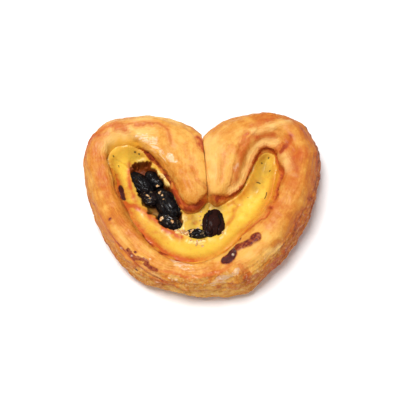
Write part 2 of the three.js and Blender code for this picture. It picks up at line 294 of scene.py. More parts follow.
# Folds that run along the strip: kind, path as (station, across), width and height in millimetres, and how
# dark the fold is coloured, partly as stain and partly as painted shade.
# A crease sinks and a ridge rises evenly about its path. A ledge is the edge of a layer: it lifts the side
# of the path towards the lip where its height is positive, towards the foot where negative, over its width.
FOLDS = (
    # left arm and lobe
    ("ledge", ((4.6, 0.61), (5.2, 0.56), (5.8, 0.51), (6.3, 0.48), (7, 0.5), (7.5, 0.57)), 3.5, 0.6, 0.55),
    ("crease", ((6.3, 0.49), (6.6, 0.52), (6.9, 0.53)), 1.3, 0.5, 0.8),
    ("crease", ((7.3, 0.6), (7.5, 0.55), (7.7, 0.53)), 1.2, 0.4, 0.7),
    ("ledge", ((7.4, 0.5), (7.7, 0.49), (8, 0.48), (8.3, 0.41), (8.6, 0.31), (9.2, 0.2)), 3.5, -0.6, 0.6),
    ("crease", ((8.2, 0.55), (8.5, 0.51), (8.9, 0.52), (9.4, 0.48)), 1.8, 0.5, 0.6),
    ("crease", ((1.5, 0.4), (1.9, 0.43), (2.4, 0.49), (2.7, 0.49), (3.1, 0.51)), 0.8, 0.45, 0.35),
    ("crease", ((3.8, 0.53), (4, 0.53), (4.3, 0.5)), 0.9, 0.3, 0.2),
    ("crease", ((1.2, 0.58), (2.2, 0.58), (3.2, 0.62), (4.2, 0.67)), 0.9, 0.4, 0.15),
    ("ridge", ((1.4, 0.67), (2.6, 0.68), (4, 0.74), (5.4, 0.76), (6.6, 0.72)), 2, 0.6, 0),
    ("crease", ((0.7, 0.5), (0.8, 0.63), (1.1, 0.77), (1.5, 0.82), (2.5, 0.85), (3, 0.88), (3.4, 0.91),
                (4.2, 0.93), (4.7, 0.92), (5.3, 0.92), (6.2, 0.94)), 1, 0.8, 0.8),
    # left side
    ("crease", ((9.2, 0.84), (9.5, 0.87), (10.1, 0.88), (10.6, 0.87), (11.1, 0.86)), 1.1, 0.8, 0.85),
    ("ridge", ((8.8, 0.64), (10, 0.68), (11.4, 0.68), (12.4, 0.74)), 2, 0.8, 0),
    ("crease", ((9.3, 0.5), (10, 0.56), (10.8, 0.5), (11.5, 0.55)), 1.6, 0.5, 0.2),
    ("ledge", ((10.7, 0.1), (11, 0.18), (11.3, 0.25), (11.9, 0.33), (12.9, 0.36), (13.3, 0.33), (14.2, 0.27),
               (15, 0.14)), 4, 0.7, 0.8),
    ("ledge", ((11.8, 0.17), (12.1, 0.2), (12.6, 0.26), (13.4, 0.22)), 3, 0.6, 0.7),
    # bottom
    ("crease", ((13, 0.87), (13.7, 0.82), (14, 0.77), (14.3, 0.77), (14.6, 0.79), (15.3, 0.74),
                (15.6, 0.74), (15.9, 0.8), (16.3, 0.84), (16.8, 0.86), (17.8, 0.86), (18.2, 0.85),
                (18.6, 0.76), (19, 0.68)), 1.1, 1, 0.85),
    ("ridge", ((12.6, 0.7), (14, 0.66), (15.4, 0.63), (16.4, 0.7)), 2, 0.8, 0),
    ("crease", ((12.8, 0.54), (13.6, 0.55), (14.6, 0.52), (15.4, 0.52), (16.2, 0.56)), 1.3, 0.5, 0.2),
    ("ledge", ((14.3, 0.4), (14.6, 0.46), (14.8, 0.44), (15, 0.4), (15.5, 0.39), (16, 0.46),
               (16.6, 0.5)), 3.5, -0.5, 0.5),
    ("crease", ((17, 0.47), (16.93, 0.38), (16.96, 0.3), (17, 0.2), (17, 0.1)), 1.4, 0.9, 0.6),
    ("ridge", ((16.4, 0.48), (16.65, 0.42), (16.75, 0.34), (16.7, 0.24)), 1.6, 0.7, 0),
    ("ledge", ((14.4, 0.16), (15.4, 0.12), (16.2, 0.16), (16.8, 0.1)), 3, 0.6, 0.5),
    # right side
    ("crease", ((19.6, 0.73), (19.9, 0.76), (20.2, 0.8), (20.6, 0.83), (20.8, 0.8), (21.1, 0.78),
                (21.5, 0.84), (22, 0.93), (22.6, 0.96)), 1, 1.2, 0.9),
    ("ridge", ((18.6, 0.62), (19.8, 0.65), (21, 0.67), (22, 0.72)), 2.2, 0.7, 0),
    ("ledge", ((17.2, 0.2), (18, 0.16), (19.2, 0.16), (20, 0.19), (20.7, 0.21), (21.8, 0.28)), 4, 0.8, 0.6),
    ("ledge", ((17.6, 0.02), (18.4, -0.02), (19.4, 0.01), (20.5, 0.03), (21.4, 0.06),
               (22.5, 0.1)), 3, 0.7, 0.6),
    ("crease", ((21.6, 0.6), (22.4, 0.6), (22.8, 0.64)), 1.3, 0.6, 0.3),
    # right lobe and arm: an outer roll, a pale valley, and a second roll at the lip
    ("ledge", ((23.2, 0.6), (23.9, 0.61), (24.6, 0.61), (25.2, 0.63), (25.9, 0.61), (26.4, 0.63), (27, 0.66),
               (27.6, 0.7), (28.2, 0.72)), 3, -0.5, 0.1),
    ("crease", ((23.3, 0.72), (24.2, 0.76), (25.3, 0.79), (26.3, 0.82), (27.2, 0.83),
                (28.2, 0.79)), 2.4, 1, 0),
    ("ridge", ((23.4, 0.84), (24.3, 0.84), (25.2, 0.87), (26.2, 0.91), (27.4, 0.9),
               (28.4, 0.85)), 1.2, 0.6, 0),
    ("crease", ((22.3, 0.93), (22.8, 0.95), (23.4, 0.92), (24, 0.91), (25, 0.92), (25.6, 0.95), (26.4, 0.97),
                (27.2, 0.97), (28, 0.94), (28.7, 0.9), (29.2, 0.82), (29.7, 0.7)), 1.2, 0.7, 0.9),
    ("crease", ((25.25, 0.59), (25.5, 0.59), (25.75, 0.62)), 1.2, 0.6, 0.7),
    ("crease", ((26.2, 0.56), (26.8, 0.51), (27.3, 0.54), (27.9, 0.55), (28.4, 0.6)), 1.1, 0.4, 0.35),
    ("crease", ((24, 0.47), (24.5, 0.5), (24.9, 0.52)), 1.2, 0.5, 0.45),
    ("crease", ((23.4, 0.36), (23.9, 0.4), (24.6, 0.42)), 1.2, 0.5, 0.25),
    ("crease", ((22.8, 0.72), (22.9, 0.82), (22.6, 0.9)), 1.1, 0.5, 0.7),
    ("ledge", ((23.2, 0.3), (24, 0.32), (25, 0.33), (26, 0.36)), 3.5, 0.5, 0.15),
    ("ridge", ((23.3, 0.43), (23.7, 0.55), (24.4, 0.6), (24.9, 0.58)), 1.2, 0.5, 0),
)

# Colour of the crust as (station, on the wall, on the shoulder, on the crest, inside): 0 is pale, 1 brown.
TOAST_ACROSS = (0, 0.3, 0.5, 0.8)
TOAST = (
    (0, 0.4, 0.35, 0.3, 0.5),
    (2, 0.25, 0.2, 0.25, 0.45),
    (4, 0.3, 0.2, 0.2, 0.35),
    (6, 0.5, 0.3, 0.05, 0.2),
    (7.3, 0.75, 0.45, 0, 0.05),
    (8.3, 0.95, 0.65, 0, 0.05),
    (9.3, 0.7, 0.45, 0.1, 0.15),
    (10.5, 0.55, 0.25, 0.2, 0.4),
    (12, 0.7, 0.5, 0.2, 0.25),
    (13.5, 0.6, 0.55, 0.3, 0.25),
    (15, 0.15, 0.3, 0.35, 0.3),
    (16, 0.2, 0.3, 0.35, 0.25),
    (17.5, 0.75, 0.4, 0.05, 0.2),
    (19, 1.05, 0.7, 0.3, 0.4),
    (21, 1.1, 0.75, 0.55, 0.45),
    (22.5, 1, 0.8, 0.65, 0.5),
    (24, 0.85, 0.65, 0.5, 0.25),
    (25.5, 0.6, 0.4, 0.2, 0.2),
    (27, 0.3, 0.15, 0.1, 0.2),
    (29, 0.2, 0.1, 0.1, 0.3),
    (31, 0.4, 0.35, 0.3, 0.5),
)
# How far in from the outside the blistered crust reaches, as (station, across).
CRUST = ((0, -0.3), (6, -0.1), (7.4, 0.3), (8.6, 0.3), (9.6, 0.1), (12, 0.15), (13.5, 0.25), (14.5, 0.42),
         (16, 0.52), (17, 0.42), (18, 0.32), (20, 0.28), (22, 0.25), (24, 0.3), (25.5, 0.1), (27, -0.3),
         (31, -0.3))
# Where the inside of the strip turns yellow with custard, as (station, across).
YOLK = ((0, 1.1), (5.4, 1.1), (6.1, 0.82), (7.1, 0.73), (7.9, 0.69), (8.6, 0.69), (9.2, 0.76), (10.2, 0.8),
        (10.7, 0.9), (11, 1), (11.9, 1), (12.3, 0.9), (13.6, 0.85), (14.2, 0.8), (15.4, 0.77), (16.2, 0.86),
        (18.3, 0.88), (18.8, 0.8), (19.7, 0.78), (20.5, 0.86), (21.1, 0.82), (21.6, 0.9), (22.2, 1),
        (31, 1.1))
# Bands of colour on the strip: mark, path as (station, across), width in millimetres and strength.
BANDS = (
    ("stain", ((1, 0.86), (1.6, 0.9), (2.4, 0.93), (3.2, 0.97), (4, 0.99), (5, 1), (6.2, 1)), 2, 0.5),
    ("stain", ((3.75, 0.28), (4, 0.32), (4.3, 0.3)), 1.5, 1),
    ("stain", ((10.6, 0.96), (11, 0.93), (11.5, 0.9)), 2.4, 0.8),
    ("stain", ((12.8, 0.93), (13.2, 0.9), (13.7, 0.84), (14, 0.8), (14.4, 0.82), (14.8, 0.81)), 2.1, 1),
    ("scorch", ((13.1, 0.38), (13.25, 0.37), (13.45, 0.35)), 0.5, 0.75),
    ("scorch", ((13.5, 0.38), (13.65, 0.4), (13.8, 0.4)), 0.7, 0.7),
    ("scorch", ((13.8, 0.36), (13.95, 0.36), (14.15, 0.36)), 0.5, 0.75),
    ("stain", ((17.4, 0.15), (18.4, 0.1)), 2.4, 0.6),
    ("stain", ((18.5, 0.58), (18.9, 0.59), (19.2, 0.64), (19.6, 0.7)), 2.2, 0.6),
    ("stain", ((21.3, 0.56), (21.7, 0.46)), 2.6, 0.4),
    # painted shade on the right lobe's slope between its crest and the pale valley
    ("stain", ((23.6, 0.68), (24.3, 0.67), (25.2, 0.66), (26.1, 0.67), (26.7, 0.7), (27.6, 0.74)), 1.9, 0.6),
    ("stain", ((24.6, 0.9), (25.6, 0.93), (26.6, 0.94), (27.8, 0.93), (28.5, 0.9)), 1.8, 1),
    ("stain", ((19.2, 0.7), (19.8, 0.75), (20.3, 0.81), (20.7, 0.84), (21, 0.79), (21.3, 0.8)), 1.8, 0.85),
    ("stain", ((23.4, 0.87), (23.8, 0.88), (24.3, 0.88)), 1.9, 0.9),
    ("stain", ((8.4, 0.44), (8.9, 0.3), (9.2, 0.16)), 3.2, 0.6),
    ("stain", ((7.2, 0.36), (7.8, 0.3), (8.4, 0.2)), 2.4, 0.35),
    ("stain", ((9.5, 0.62), (10.2, 0.6), (11, 0.6)), 2.6, 0.45),
    ("stain", ((12.2, 0.6), (12.8, 0.62)), 2.4, 0.4),
    ("stain", ((18.6, 0.72), (19.4, 0.6), (20.4, 0.55)), 3, 0.4),
    ("stain", ((20.6, 0.7), (21.2, 0.6), (21.8, 0.52)), 2.6, 0.45),
    ("stain", ((28.6, 0.9), (29.2, 0.8), (29.7, 0.74), (30, 0.8)), 1.3, 0.9),
    ("stain", ((0.8, 0.7), (1.1, 0.84), (1.5, 0.9), (2.1, 0.91), (2.8, 0.94)), 2, 1.2),
    ("pale", ((5.6, 0.3), (6.4, 0.27), (7.2, 0.24)), 2.4, 0.5),
    # painted light: lightens the left lobe's inner slope, which the key light leaves in shade
    ("pale", ((6.4, 0.62), (7.4, 0.66), (8, 0.66), (8.8, 0.62)), 3, 0.7),
    ("pale", ((6.6, 0.42), (7.2, 0.4), (7.8, 0.36)), 2.2, 0.6),
    ("pale", ((23.5, 0.77), (24.2, 0.79), (25.3, 0.81), (26.3, 0.83), (27.2, 0.84), (28.2, 0.8)), 1.7, 1),
    ("pale", ((21.1, 0.67), (21.5, 0.71), (22.1, 0.76)), 2, 1),
    ("pale", ((23.3, 0.43), (23.7, 0.55), (24.4, 0.6), (24.9, 0.58)), 1.4, 0.8),
    ("pale", ((26.6, 0.3), (28, 0.35), (29.6, 0.35)), 3.5, 0.6),
    ("pale", ((17.8, 0.36), (18, 0.3), (18.2, 0.29)), 1.4, 0.6),
    ("pale", ((13.8, 0.27), (14.3, 0.25)), 1.1, 0.8),
    # Sheen bands: the first two are pale flakes on the bottom wall, the rest painted highlights of the glaze.
    ("sheen", ((16.1, 0.28), (16.3, 0.35), (16.6, 0.4), (16.8, 0.43)), 0.6, 0.6),
    ("sheen", ((15.8, 0.26), (16, 0.33), (16.3, 0.4)), 0.6, 0.6),
    ("sheen", ((5, 0.76), (5.6, 0.73), (6.6, 0.71)), 0.9, 0.9),
    ("sheen", ((5.5, 0.69), (6, 0.68), (6.3, 0.67)), 0.6, 0.6),
    ("sheen", ((4.1, 0.76), (4.6, 0.75)), 0.6, 0.8),
    ("sheen", ((3.75, 0.68), (3.95, 0.715), (4.1, 0.69), (4.3, 0.71)), 0.33, 0.75),
    ("sheen", ((14.4, 0.74), (14.8, 0.68), (15.2, 0.6)), 1, 0.9),
    ("sheen", ((14.6, 0.62), (15, 0.57)), 0.6, 0.6),
    ("sheen", ((15.65, 0.69), (15.95, 0.68)), 0.6, 0.7),
    ("sheen", ((26.75, 0.68), (26.95, 0.69)), 0.45, 0.5),
)
# Spots on the strip that run together where they are close: mark, how far they stand up in millimetres,
# strength, and each spot's (station, across, radius in millimetres).
SPOTS = (
    ("scorch", 0.5, 0.85, ((18, 0.59, 1.5), (17.92, 0.59, 2.2), (17.8, 0.6, 2.3), (17.64, 0.625, 2),
                           (17.5, 0.645, 1.4), (17.42, 0.67, 1.2), (17.28, 0.7, 1.7), (17.14, 0.69, 1.7))),
    ("scorch", 0.5, 1.1, ((17, 0.67, 1.7), (16.87, 0.64, 1.7), (16.75, 0.61, 1.6), (16.6, 0.605, 1.7),
                          (16.47, 0.61, 1.6), (17.6, 0.77, 1))),
    ("scorch", 0, 0.8, ((5.6, 0.95, 0.9), (5.3, 0.93, 1.3), (5, 0.93, 1.5), (4.75, 0.94, 1.3),
                        (4.4, 0.93, 1.2), (4.15, 0.95, 1.3), (3.9, 0.94, 1.1), (3.6, 0.96, 1.4),
                        (3.4, 0.95, 1.4), (3.15, 0.94, 1.2))),
    ("scorch", 0.1, 1, ((12, 0.46, 0.9), (13.3, 0.45, 0.8), (13.6, 0.18, 1), (9.15, 0.86, 0.8),
                        (11.1, 0.95, 1.5))),
    ("scorch", 0, 0.35, ((22.5, 0.76, 1.2), (22.57, 0.7, 1.5), (22.64, 0.64, 1.5), (22.7, 0.57, 1.3))),
    ("stain", 0, 1, ((22.45, 0.78, 1.6), (22.55, 0.71, 2), (22.64, 0.64, 2), (22.7, 0.57, 1.8))),
    # Painted highlights: small glints of the glaze on the bottom crust and on the burnt drips.
    ("sheen", 0.3, 0.9, ((14.6, 0.34, 0.8), (14.8, 0.3, 0.7), (15.2, 0.31, 0.8), (14.3, 0.15, 0.7),
                         (13.8, 0.52, 0.7), (16.1, 0.35, 0.7), (15.6, 0.26, 0.6), (13.3, 0.36, 0.5),
                         (12.9, 0.33, 0.7), (16.9, 0.64, 0.6), (17.1, 0.71, 0.6), (16.98, 0.71, 0.5))),
    ("stain", 0, 0.4, ((19, 0.23, 2.2), (19.1, 0.09, 2.4), (18.7, 0.19, 2), (18.3, 0.2, 2.4),
                       (20.3, 0.2, 2.2), (21.2, 0.15, 2.6), (22.2, 0.3, 2.2), (15.3, 0.3, 2),
                       (16.2, 0.35, 2), (14.2, 0.2, 2))),
    ("stain", 0, 0.35, ((7.6, 0.42, 2.2), (8.2, 0.3, 2.6), (10.6, 0.45, 2.4), (9.8, 0.4, 2.2), (21.4, 0.5, 3),
                        (20.4, 0.62, 2.6), (19.4, 0.5, 2.4), (23.1, 0.45, 2.4))),
    ("baked", 0, 1, ((21.4, 0.56, 3), (21.5, 0.48, 2.6), (21.2, 0.6, 2.2), (21.5, 0.28, 2.4),
                     (21.3, 0.22, 2.4), (20.5, 0.2, 2.6), (19.9, 0.27, 2), (19.4, 0.3, 1.6),
                     (19.2, 0.28, 1.8), (18.9, 0.28, 2), (18.1, 0.37, 1.6), (18.3, 0.35, 1.6),
                     (18.3, 0.25, 1.6), (18.3, 0.16, 1.8), (17.8, 0.24, 1.6), (22.6, 0.35, 2.6),
                     (11.2, 0.55, 2.6), (12, 0.5, 2.6))),
)
HARD_EDGED = ("scorch", "sheen")  # marks that end sharply
LAYER_SHIFT = 1.7  # how far a layer's edge wanders up and down


def table_at(table, stations, column):
    return np.interp(stations, [row[0] for row in table], [row[column] for row in table])


def round_flow(strip):
    """Points where X and Y go round with the strip without a seam, and Z goes up its section."""
    turn = 2 * np.pi * np.arange(ROWS_ALONG)[:, None] / ROWS_ALONG
    middle = (strip.outer + strip.lip) / 2
    radius = np.linalg.norm(np.diff(middle, axis=0), axis=1).sum() / (2 * np.pi)
    return np.stack(np.broadcast_arrays(radius * np.cos(turn), radius * np.sin(turn), strip.arc), axis=2)


def folds_on(strip):
    """Height of all the folds, and the darkening along them, partly stain and partly painted shade."""
    relief, stain = 0, 0
    wander = 0.7 * lattice_noise(strip.points, 8, 3) + 0.25 * lattice_noise(strip.points, 2.5, 4)
    for kind, path, width, height, dark in FOLDS:
        if kind == "ledge":
            gap, fade = strip.beside(path)
            ahead = (gap + wander) * np.sign(height)
            lift = smoothstep(-0.35, 0.35, ahead) * np.exp(-np.maximum(ahead, 0) / width)
            relief = relief + abs(height) * fade * lift
            line = fade * (bell(ahead + 0.4, 0.9) + 0.4 * bell(ahead - 0.5, 1.6))
        else:
            gap = strip.distance_to(path)
            relief = relief + (height if kind == "ridge" else -height) * bell(gap, width)
            line = bell(gap, 0.95 * width)
        stain = np.maximum(stain, dark * line)
    return relief, stain


def layers_on(strip, flow, settings):
    """Height of the edges of the layers stacked up the outer wall, and the dark seams under them, which are
    painted shade.
    """
    wall = 1 - smoothstep(0.25, 0.45, strip.across[None, :])
    stretched = flow * (1, 1, 2.5)
    shift = LAYER_SHIFT * lattice_noise(stretched, 16, 5) + 0.4 * lattice_noise(flow, 4, 6)
    level = (strip.arc + shift) / (settings.layer_pitch / MM)
    place = level - np.floor(level)
    edge = smoothstep(0, 0.18, place) * (1 - place) - 0.35
    bold = smoothstep(-0.6, 0.5, lattice_noise(stretched + 7 * np.floor(level)[..., None], 20, 7))
    # painted shade in the crevice under each layer's edge
    seam = bell(place, 0.16) + bell(place - 1, 0.12)
    return settings.layer_depth / MM * wall * bold * edge, 0.5 * wall * bold * seam


def painted(strip):
    """Strength of each mark painted on the strip, and how far the raised ones stand up."""
    points = strip.points
    marks = {mark: np.zeros(strip.arc.shape) for mark, *_ in BANDS + SPOTS}
    raised = 0
    ragged = 1 + 0.45 * lattice_noise(points, 2.2, 12)
    for mark, path, width, strength in BANDS:
        band = bell(strip.distance_to(path), width) * ragged
        if mark in HARD_EDGED:
            band = smoothstep(0.15, 0.75, band)
        marks[mark] = np.maximum(marks[mark], strength * band)
    for mark, height, strength, spots in SPOTS:
        field = 0
        for station, across, radius in spots:
            field = field + bell(np.linalg.norm(points - strip.point_at(station, across), axis=2), radius)
        field = field * ragged
        if mark in HARD_EDGED:
            field = smoothstep(0.25, 0.8, field)
        marks[mark] = np.maximum(marks[mark], strength * np.minimum(field, 1))
        raised = raised + height * np.minimum(field, 1)
    return marks, raised


def dough_surface(strip, settings):
    """The strip's points with every fold, layer and blister on them, the run of its grain, and the marks
    that colour it."""
    points, across = strip.points, strip.across[None, :]
    flow = round_flow(strip)
    shown = 1 - smoothstep(1, 1.05, across)
    folds, crease_stain_and_shade = folds_on(strip)
    layers, seams = layers_on(strip, flow, settings)
    marks, raised = painted(strip)
    # The stain also takes the darkening in the creases and in the seams under the layers, which is painted
    # shade.
    marks["stain"] = np.maximum(np.maximum(marks["stain"], crease_stain_and_shade), seams)

    # swellings, fine creases that run with the strip, and the blisters of the crust
    relief = 0.6 * lattice_noise(points, 15, 1) + settings.lump_height / MM * rough_noise(points, 5, 2)
    grain = 1 - np.abs(lattice_noise(flow * (0.12, 0.12, 1), 1.5, 8))
    patch = smoothstep(-0.3, 0.7, lattice_noise(points, 11, 9))
    crust = 1 - smoothstep(-0.1, 0.06, across - table_at(CRUST, strip.station, 1)[:, None])
    blister = smoothstep(0.15, 0.7, lattice_noise(points, 2.3, 10))
    blister = blister + 0.5 * smoothstep(0.1, 0.7, lattice_noise(points, 1.2, 11))
    relief = relief + folds + layers + raised + settings.grain_depth / MM * patch * grain**3
    relief = relief + settings.blister_height / MM * crust * (blister - 0.7)
    relief = relief * smoothstep(-0.5, -0.4, across) * shown
    surface = pressed(points + strip.normal * relief[..., None], strip.station)
    surface[:, 0, 2] = 0
    surface[..., 2] = np.maximum(surface[..., 2], 0)

    tint = [table_at(TOAST, strip.station, column) for column in range(1, 5)]
    toast = np.array([np.interp(strip.across, TOAST_ACROSS, row) for row in np.transpose(tint)])
    toast = toast + 0.18 * lattice_noise(points, 9, 13) + 0.12 * lattice_noise(flow * (0.2, 0.2, 1), 3, 14)
    marks["toast"] = np.clip(toast + 0.3 * crust * (blister - 0.4) + 0.45 * marks.pop("baked"), 0, 1.5)
    yolk = across - table_at(YOLK, strip.station, 1)[:, None] + 0.03 * lattice_noise(points, 4, 15)
    marks["yolk"] = smoothstep(-0.05, 0.07, yolk)
    marks["crust"] = crust
    return surface, flow, marks


# ---- Meshes ----
def to_frame(strip):
    """A function that takes the strip's own millimetres to metres in the frame, where the smooth strip just
    fills its node's box."""
    flat = strip.points.reshape(-1, 3)
    start, end = flat.min(axis=0), flat.max(axis=0)
    low, high = (np.array(corner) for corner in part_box(DOUGH_NODE))
    return lambda places: low + (np.asarray(places) - start) / (end - start) * (high - low)


def add_piece(name, vertices, faces, marks=None, vectors=None):
    mesh = bpy.data.meshes.new(name)
    mesh.from_pydata(np.asarray(vertices).tolist(), [], faces)
    for mark, values in (marks or {}).items():
        layer = mesh.attributes.new(mark, "FLOAT", "POINT")
        layer.data.foreach_set("value", np.asarray(values, np.float32).ravel())
    for mark, values in (vectors or {}).items():
        layer = mesh.attributes.new(mark, "FLOAT_VECTOR", "POINT")
        layer.data.foreach_set("vector", np.asarray(values, np.float32).ravel())
    mesh.shade_smooth()
    mesh.update()
    piece = bpy.data.objects.new(name, mesh)
    bpy.context.scene.collection.objects.link(piece)
    return piece


def ring_faces(rows, columns):
    """Four-sided faces between rows that close on themselves, each with so many columns."""
    here = np.arange(rows)[:, None] * columns + np.arange(columns - 1)
    after = np.roll(here, -1, axis=0)
    return np.stack([here, after, after + 1, here + 1], axis=-1).reshape(-1, 4).tolist()


def close_with_cap(piece):
    """Fills each open edge loop of the piece with triangles."""
    mesh = bmesh.new()
    mesh.from_mesh(piece.data)
    open_edges = [edge for edge in mesh.edges if edge.is_boundary]
    bmesh.ops.triangle_fill(mesh, edges=open_edges, use_beauty=True)
    bmesh.ops.recalc_face_normals(mesh, faces=mesh.faces)
    mesh.to_mesh(piece.data)
    mesh.free()


# ---- Shader maths ----
class Wire:
    """An output socket of a finish. Arithmetic on it adds the Math nodes that work it out."""

    def __init__(self, finish, socket):
        self.finish, self.socket = finish, socket

    def __add__(self, other):
        return self.finish.math("ADD", self, other)

    def __radd__(self, other):
        return self.finish.math("ADD", other, self)

    def __sub__(self, other):
        return self.finish.math("SUBTRACT", self, other)

    def __rsub__(self, other):
        return self.finish.math("SUBTRACT", other, self)

    def __mul__(self, other):
        return self.finish.math("MULTIPLY", self, other)

    def __rmul__(self, other):
        return self.finish.math("MULTIPLY", other, self)

    def clamped(self):
        return self.finish.math("MINIMUM", self.finish.math("MAXIMUM", self, 0.0), 1.0)

    def between(self, low, high):
        """0 below low, 1 above high, and a soft step between."""
        values = {"Value": self, "From Min": low, "From Max": high}
        return self.finish.node("ShaderNodeMapRange", {"interpolation_type": "SMOOTHSTEP"}, values)


class Finish:
    """A material while its nodes are being made. scatter is how far red, green and blue light spread under
    the surface, in millimetres."""

    def __init__(self, name, scatter=(0, 0, 0), **constants):
        self.material = bpy.data.materials.new(name)
        self.material.use_nodes = True
        self.tree = self.material.node_tree
        self.shader = self.tree.nodes["Principled BSDF"]
        self.shader.inputs["Subsurface Radius"].default_value = [reach * MM for reach in scatter]
        self.shader.inputs["Subsurface Scale"].default_value = 1
        for socket, value in constants.items():
            self.shader.inputs[socket.replace("_", " ")].default_value = value

    def node(self, kind, settings=None, values=None, output=0):
        """Adds a node, its settings first and then its sockets, and returns one of its outputs."""
        made = self.tree.nodes.new(kind)
        for name, value in (settings or {}).items():
            if name == "stops":
                self.set_stops(made.color_ramp, value)
            else:
                setattr(made, name, value)
        for name, value in (values or {}).items():
            if isinstance(value, Wire):
                self.tree.links.new(value.socket, made.inputs[name])
            else:
                made.inputs[name].default_value = value
        return Wire(self, made.outputs[output])

    @staticmethod
    def set_stops(ramp, stops):
        while len(ramp.elements) < len(stops):
            ramp.elements.new(1)
        for element, (place, colour) in zip(ramp.elements, stops):
            element.position = place
            element.color = (*colour, 1)

    def math(self, operation, first, second):
        return self.node("ShaderNodeMath", {"operation": operation}, {0: first, 1: second})

    def mix(self, below, above, amount):
        """One colour laid over another by an amount. Sockets 6 and 7 of a Mix node are its colours."""
        values = {0: amount, 6: as_colour(below), 7: as_colour(above)}
        return self.node("ShaderNodeMix", {"data_type": "RGBA"}, values, output=2)

    def mark(self, name, output="Fac"):
        return self.node("ShaderNodeAttribute", {"attribute_name": name}, output=output)

    def place(self):
        """The point on the piece, in millimetres."""
        return self.scaled(self.node("ShaderNodeTexCoord", output="Object"), (1000, 1000, 1000))

    def scaled(self, vector, by):
        return self.node("ShaderNodeVectorMath", {"operation": "MULTIPLY"}, {0: vector, 1: by})

    def noise(self, vector, size, detail, roughness=0.55):
        values = {"Vector": vector, "Scale": 1 / size, "Detail": detail, "Roughness": roughness}
        return self.node("ShaderNodeTexNoise", None, values)

    def cells(self, vector, size):
        return self.node("ShaderNodeTexVoronoi", None, {"Vector": vector, "Scale": 1 / size})

    def bump(self, height, depth):
        """A bump whose depth is in millimetres."""
        return self.node("ShaderNodeBump", None, {"Height": height, "Distance": depth * MM})

    def feed(self, **sockets):
        for name, value in sockets.items():
            self.tree.links.new(value.socket, self.shader.inputs[name.replace("_", " ")])


def as_colour(value):
    return value if isinstance(value, Wire) else (*value, 1)


def linear(screen):
    """A screen's red, green or blue from 0 to 255 as the linear value that Blender keeps."""
    share = screen / 255
    return share / 12.92 if share <= 0.04045 else ((share + 0.055) / 1.055) ** 2.4


def colour_setting(name, description, *screen):
    return bpy.props.FloatVectorProperty(
        name=name, description=description, subtype="COLOR", size=3, min=0, max=1,
        default=[linear(part) for part in screen])


def length_setting(name, description, size, least=0):
    """A length, given here in millimetres and kept in metres."""
    return bpy.props.FloatProperty(
        name=name, description=description, default=size * MM, min=least * MM, unit="LENGTH", precision=4)


# ---- Dough ----
class DoughSettings(bpy.types.PropertyGroup):
    layer_pitch: length_setting("Layer pitch", "Height of one layer on the outer wall", 2.7, 1)
    layer_depth: length_setting("Layer depth", "How far a layer's edge stands out", 0.6)
    lump_height: length_setting("Lump height", "Height of the swellings of the dough", 0.3)
    grain_depth: length_setting("Grain depth", "Height of the fine ridges of its grain", 0.3)
    blister_height: length_setting("Blister height", "Height of the crust's blisters", 0.3)
    pale: colour_setting("Pale", "Crust that the oven's heat reached least", 236, 176, 82)
    golden: colour_setting("Golden", "Crust over most of the pastry", 211, 130, 40)
    brown: colour_setting("Brown", "Well baked crust", 186, 88, 30)
    dark: colour_setting("Dark", "The darkest crust", 128, 56, 26)
    # Crease and Deep crease colour the stained creases, where egg wash and painted shade darken the crust.
    crease: colour_setting("Crease", "Egg wash gathered in the creases", 196, 74, 18)
    deep: colour_setting("Deep crease", "Where the creases baked darkest", 140, 44, 18)
    scorched: colour_setting("Scorched", "Custard burnt onto the crust", 70, 12, 8)
    caramel: colour_setting("Caramel", "The same where it is thinner", 140, 42, 12)
    yolk: colour_setting("Yolk", "Crust that custard ran over", 236, 168, 40)
    cream: colour_setting("Cream", "Dough that stayed pale in a hollow", 250, 206, 124)
    # Flake also gives the painted highlights of the glaze their colour.
    flake_and_highlight: colour_setting("Flake", "Thin glazed flakes", 255, 226, 190)


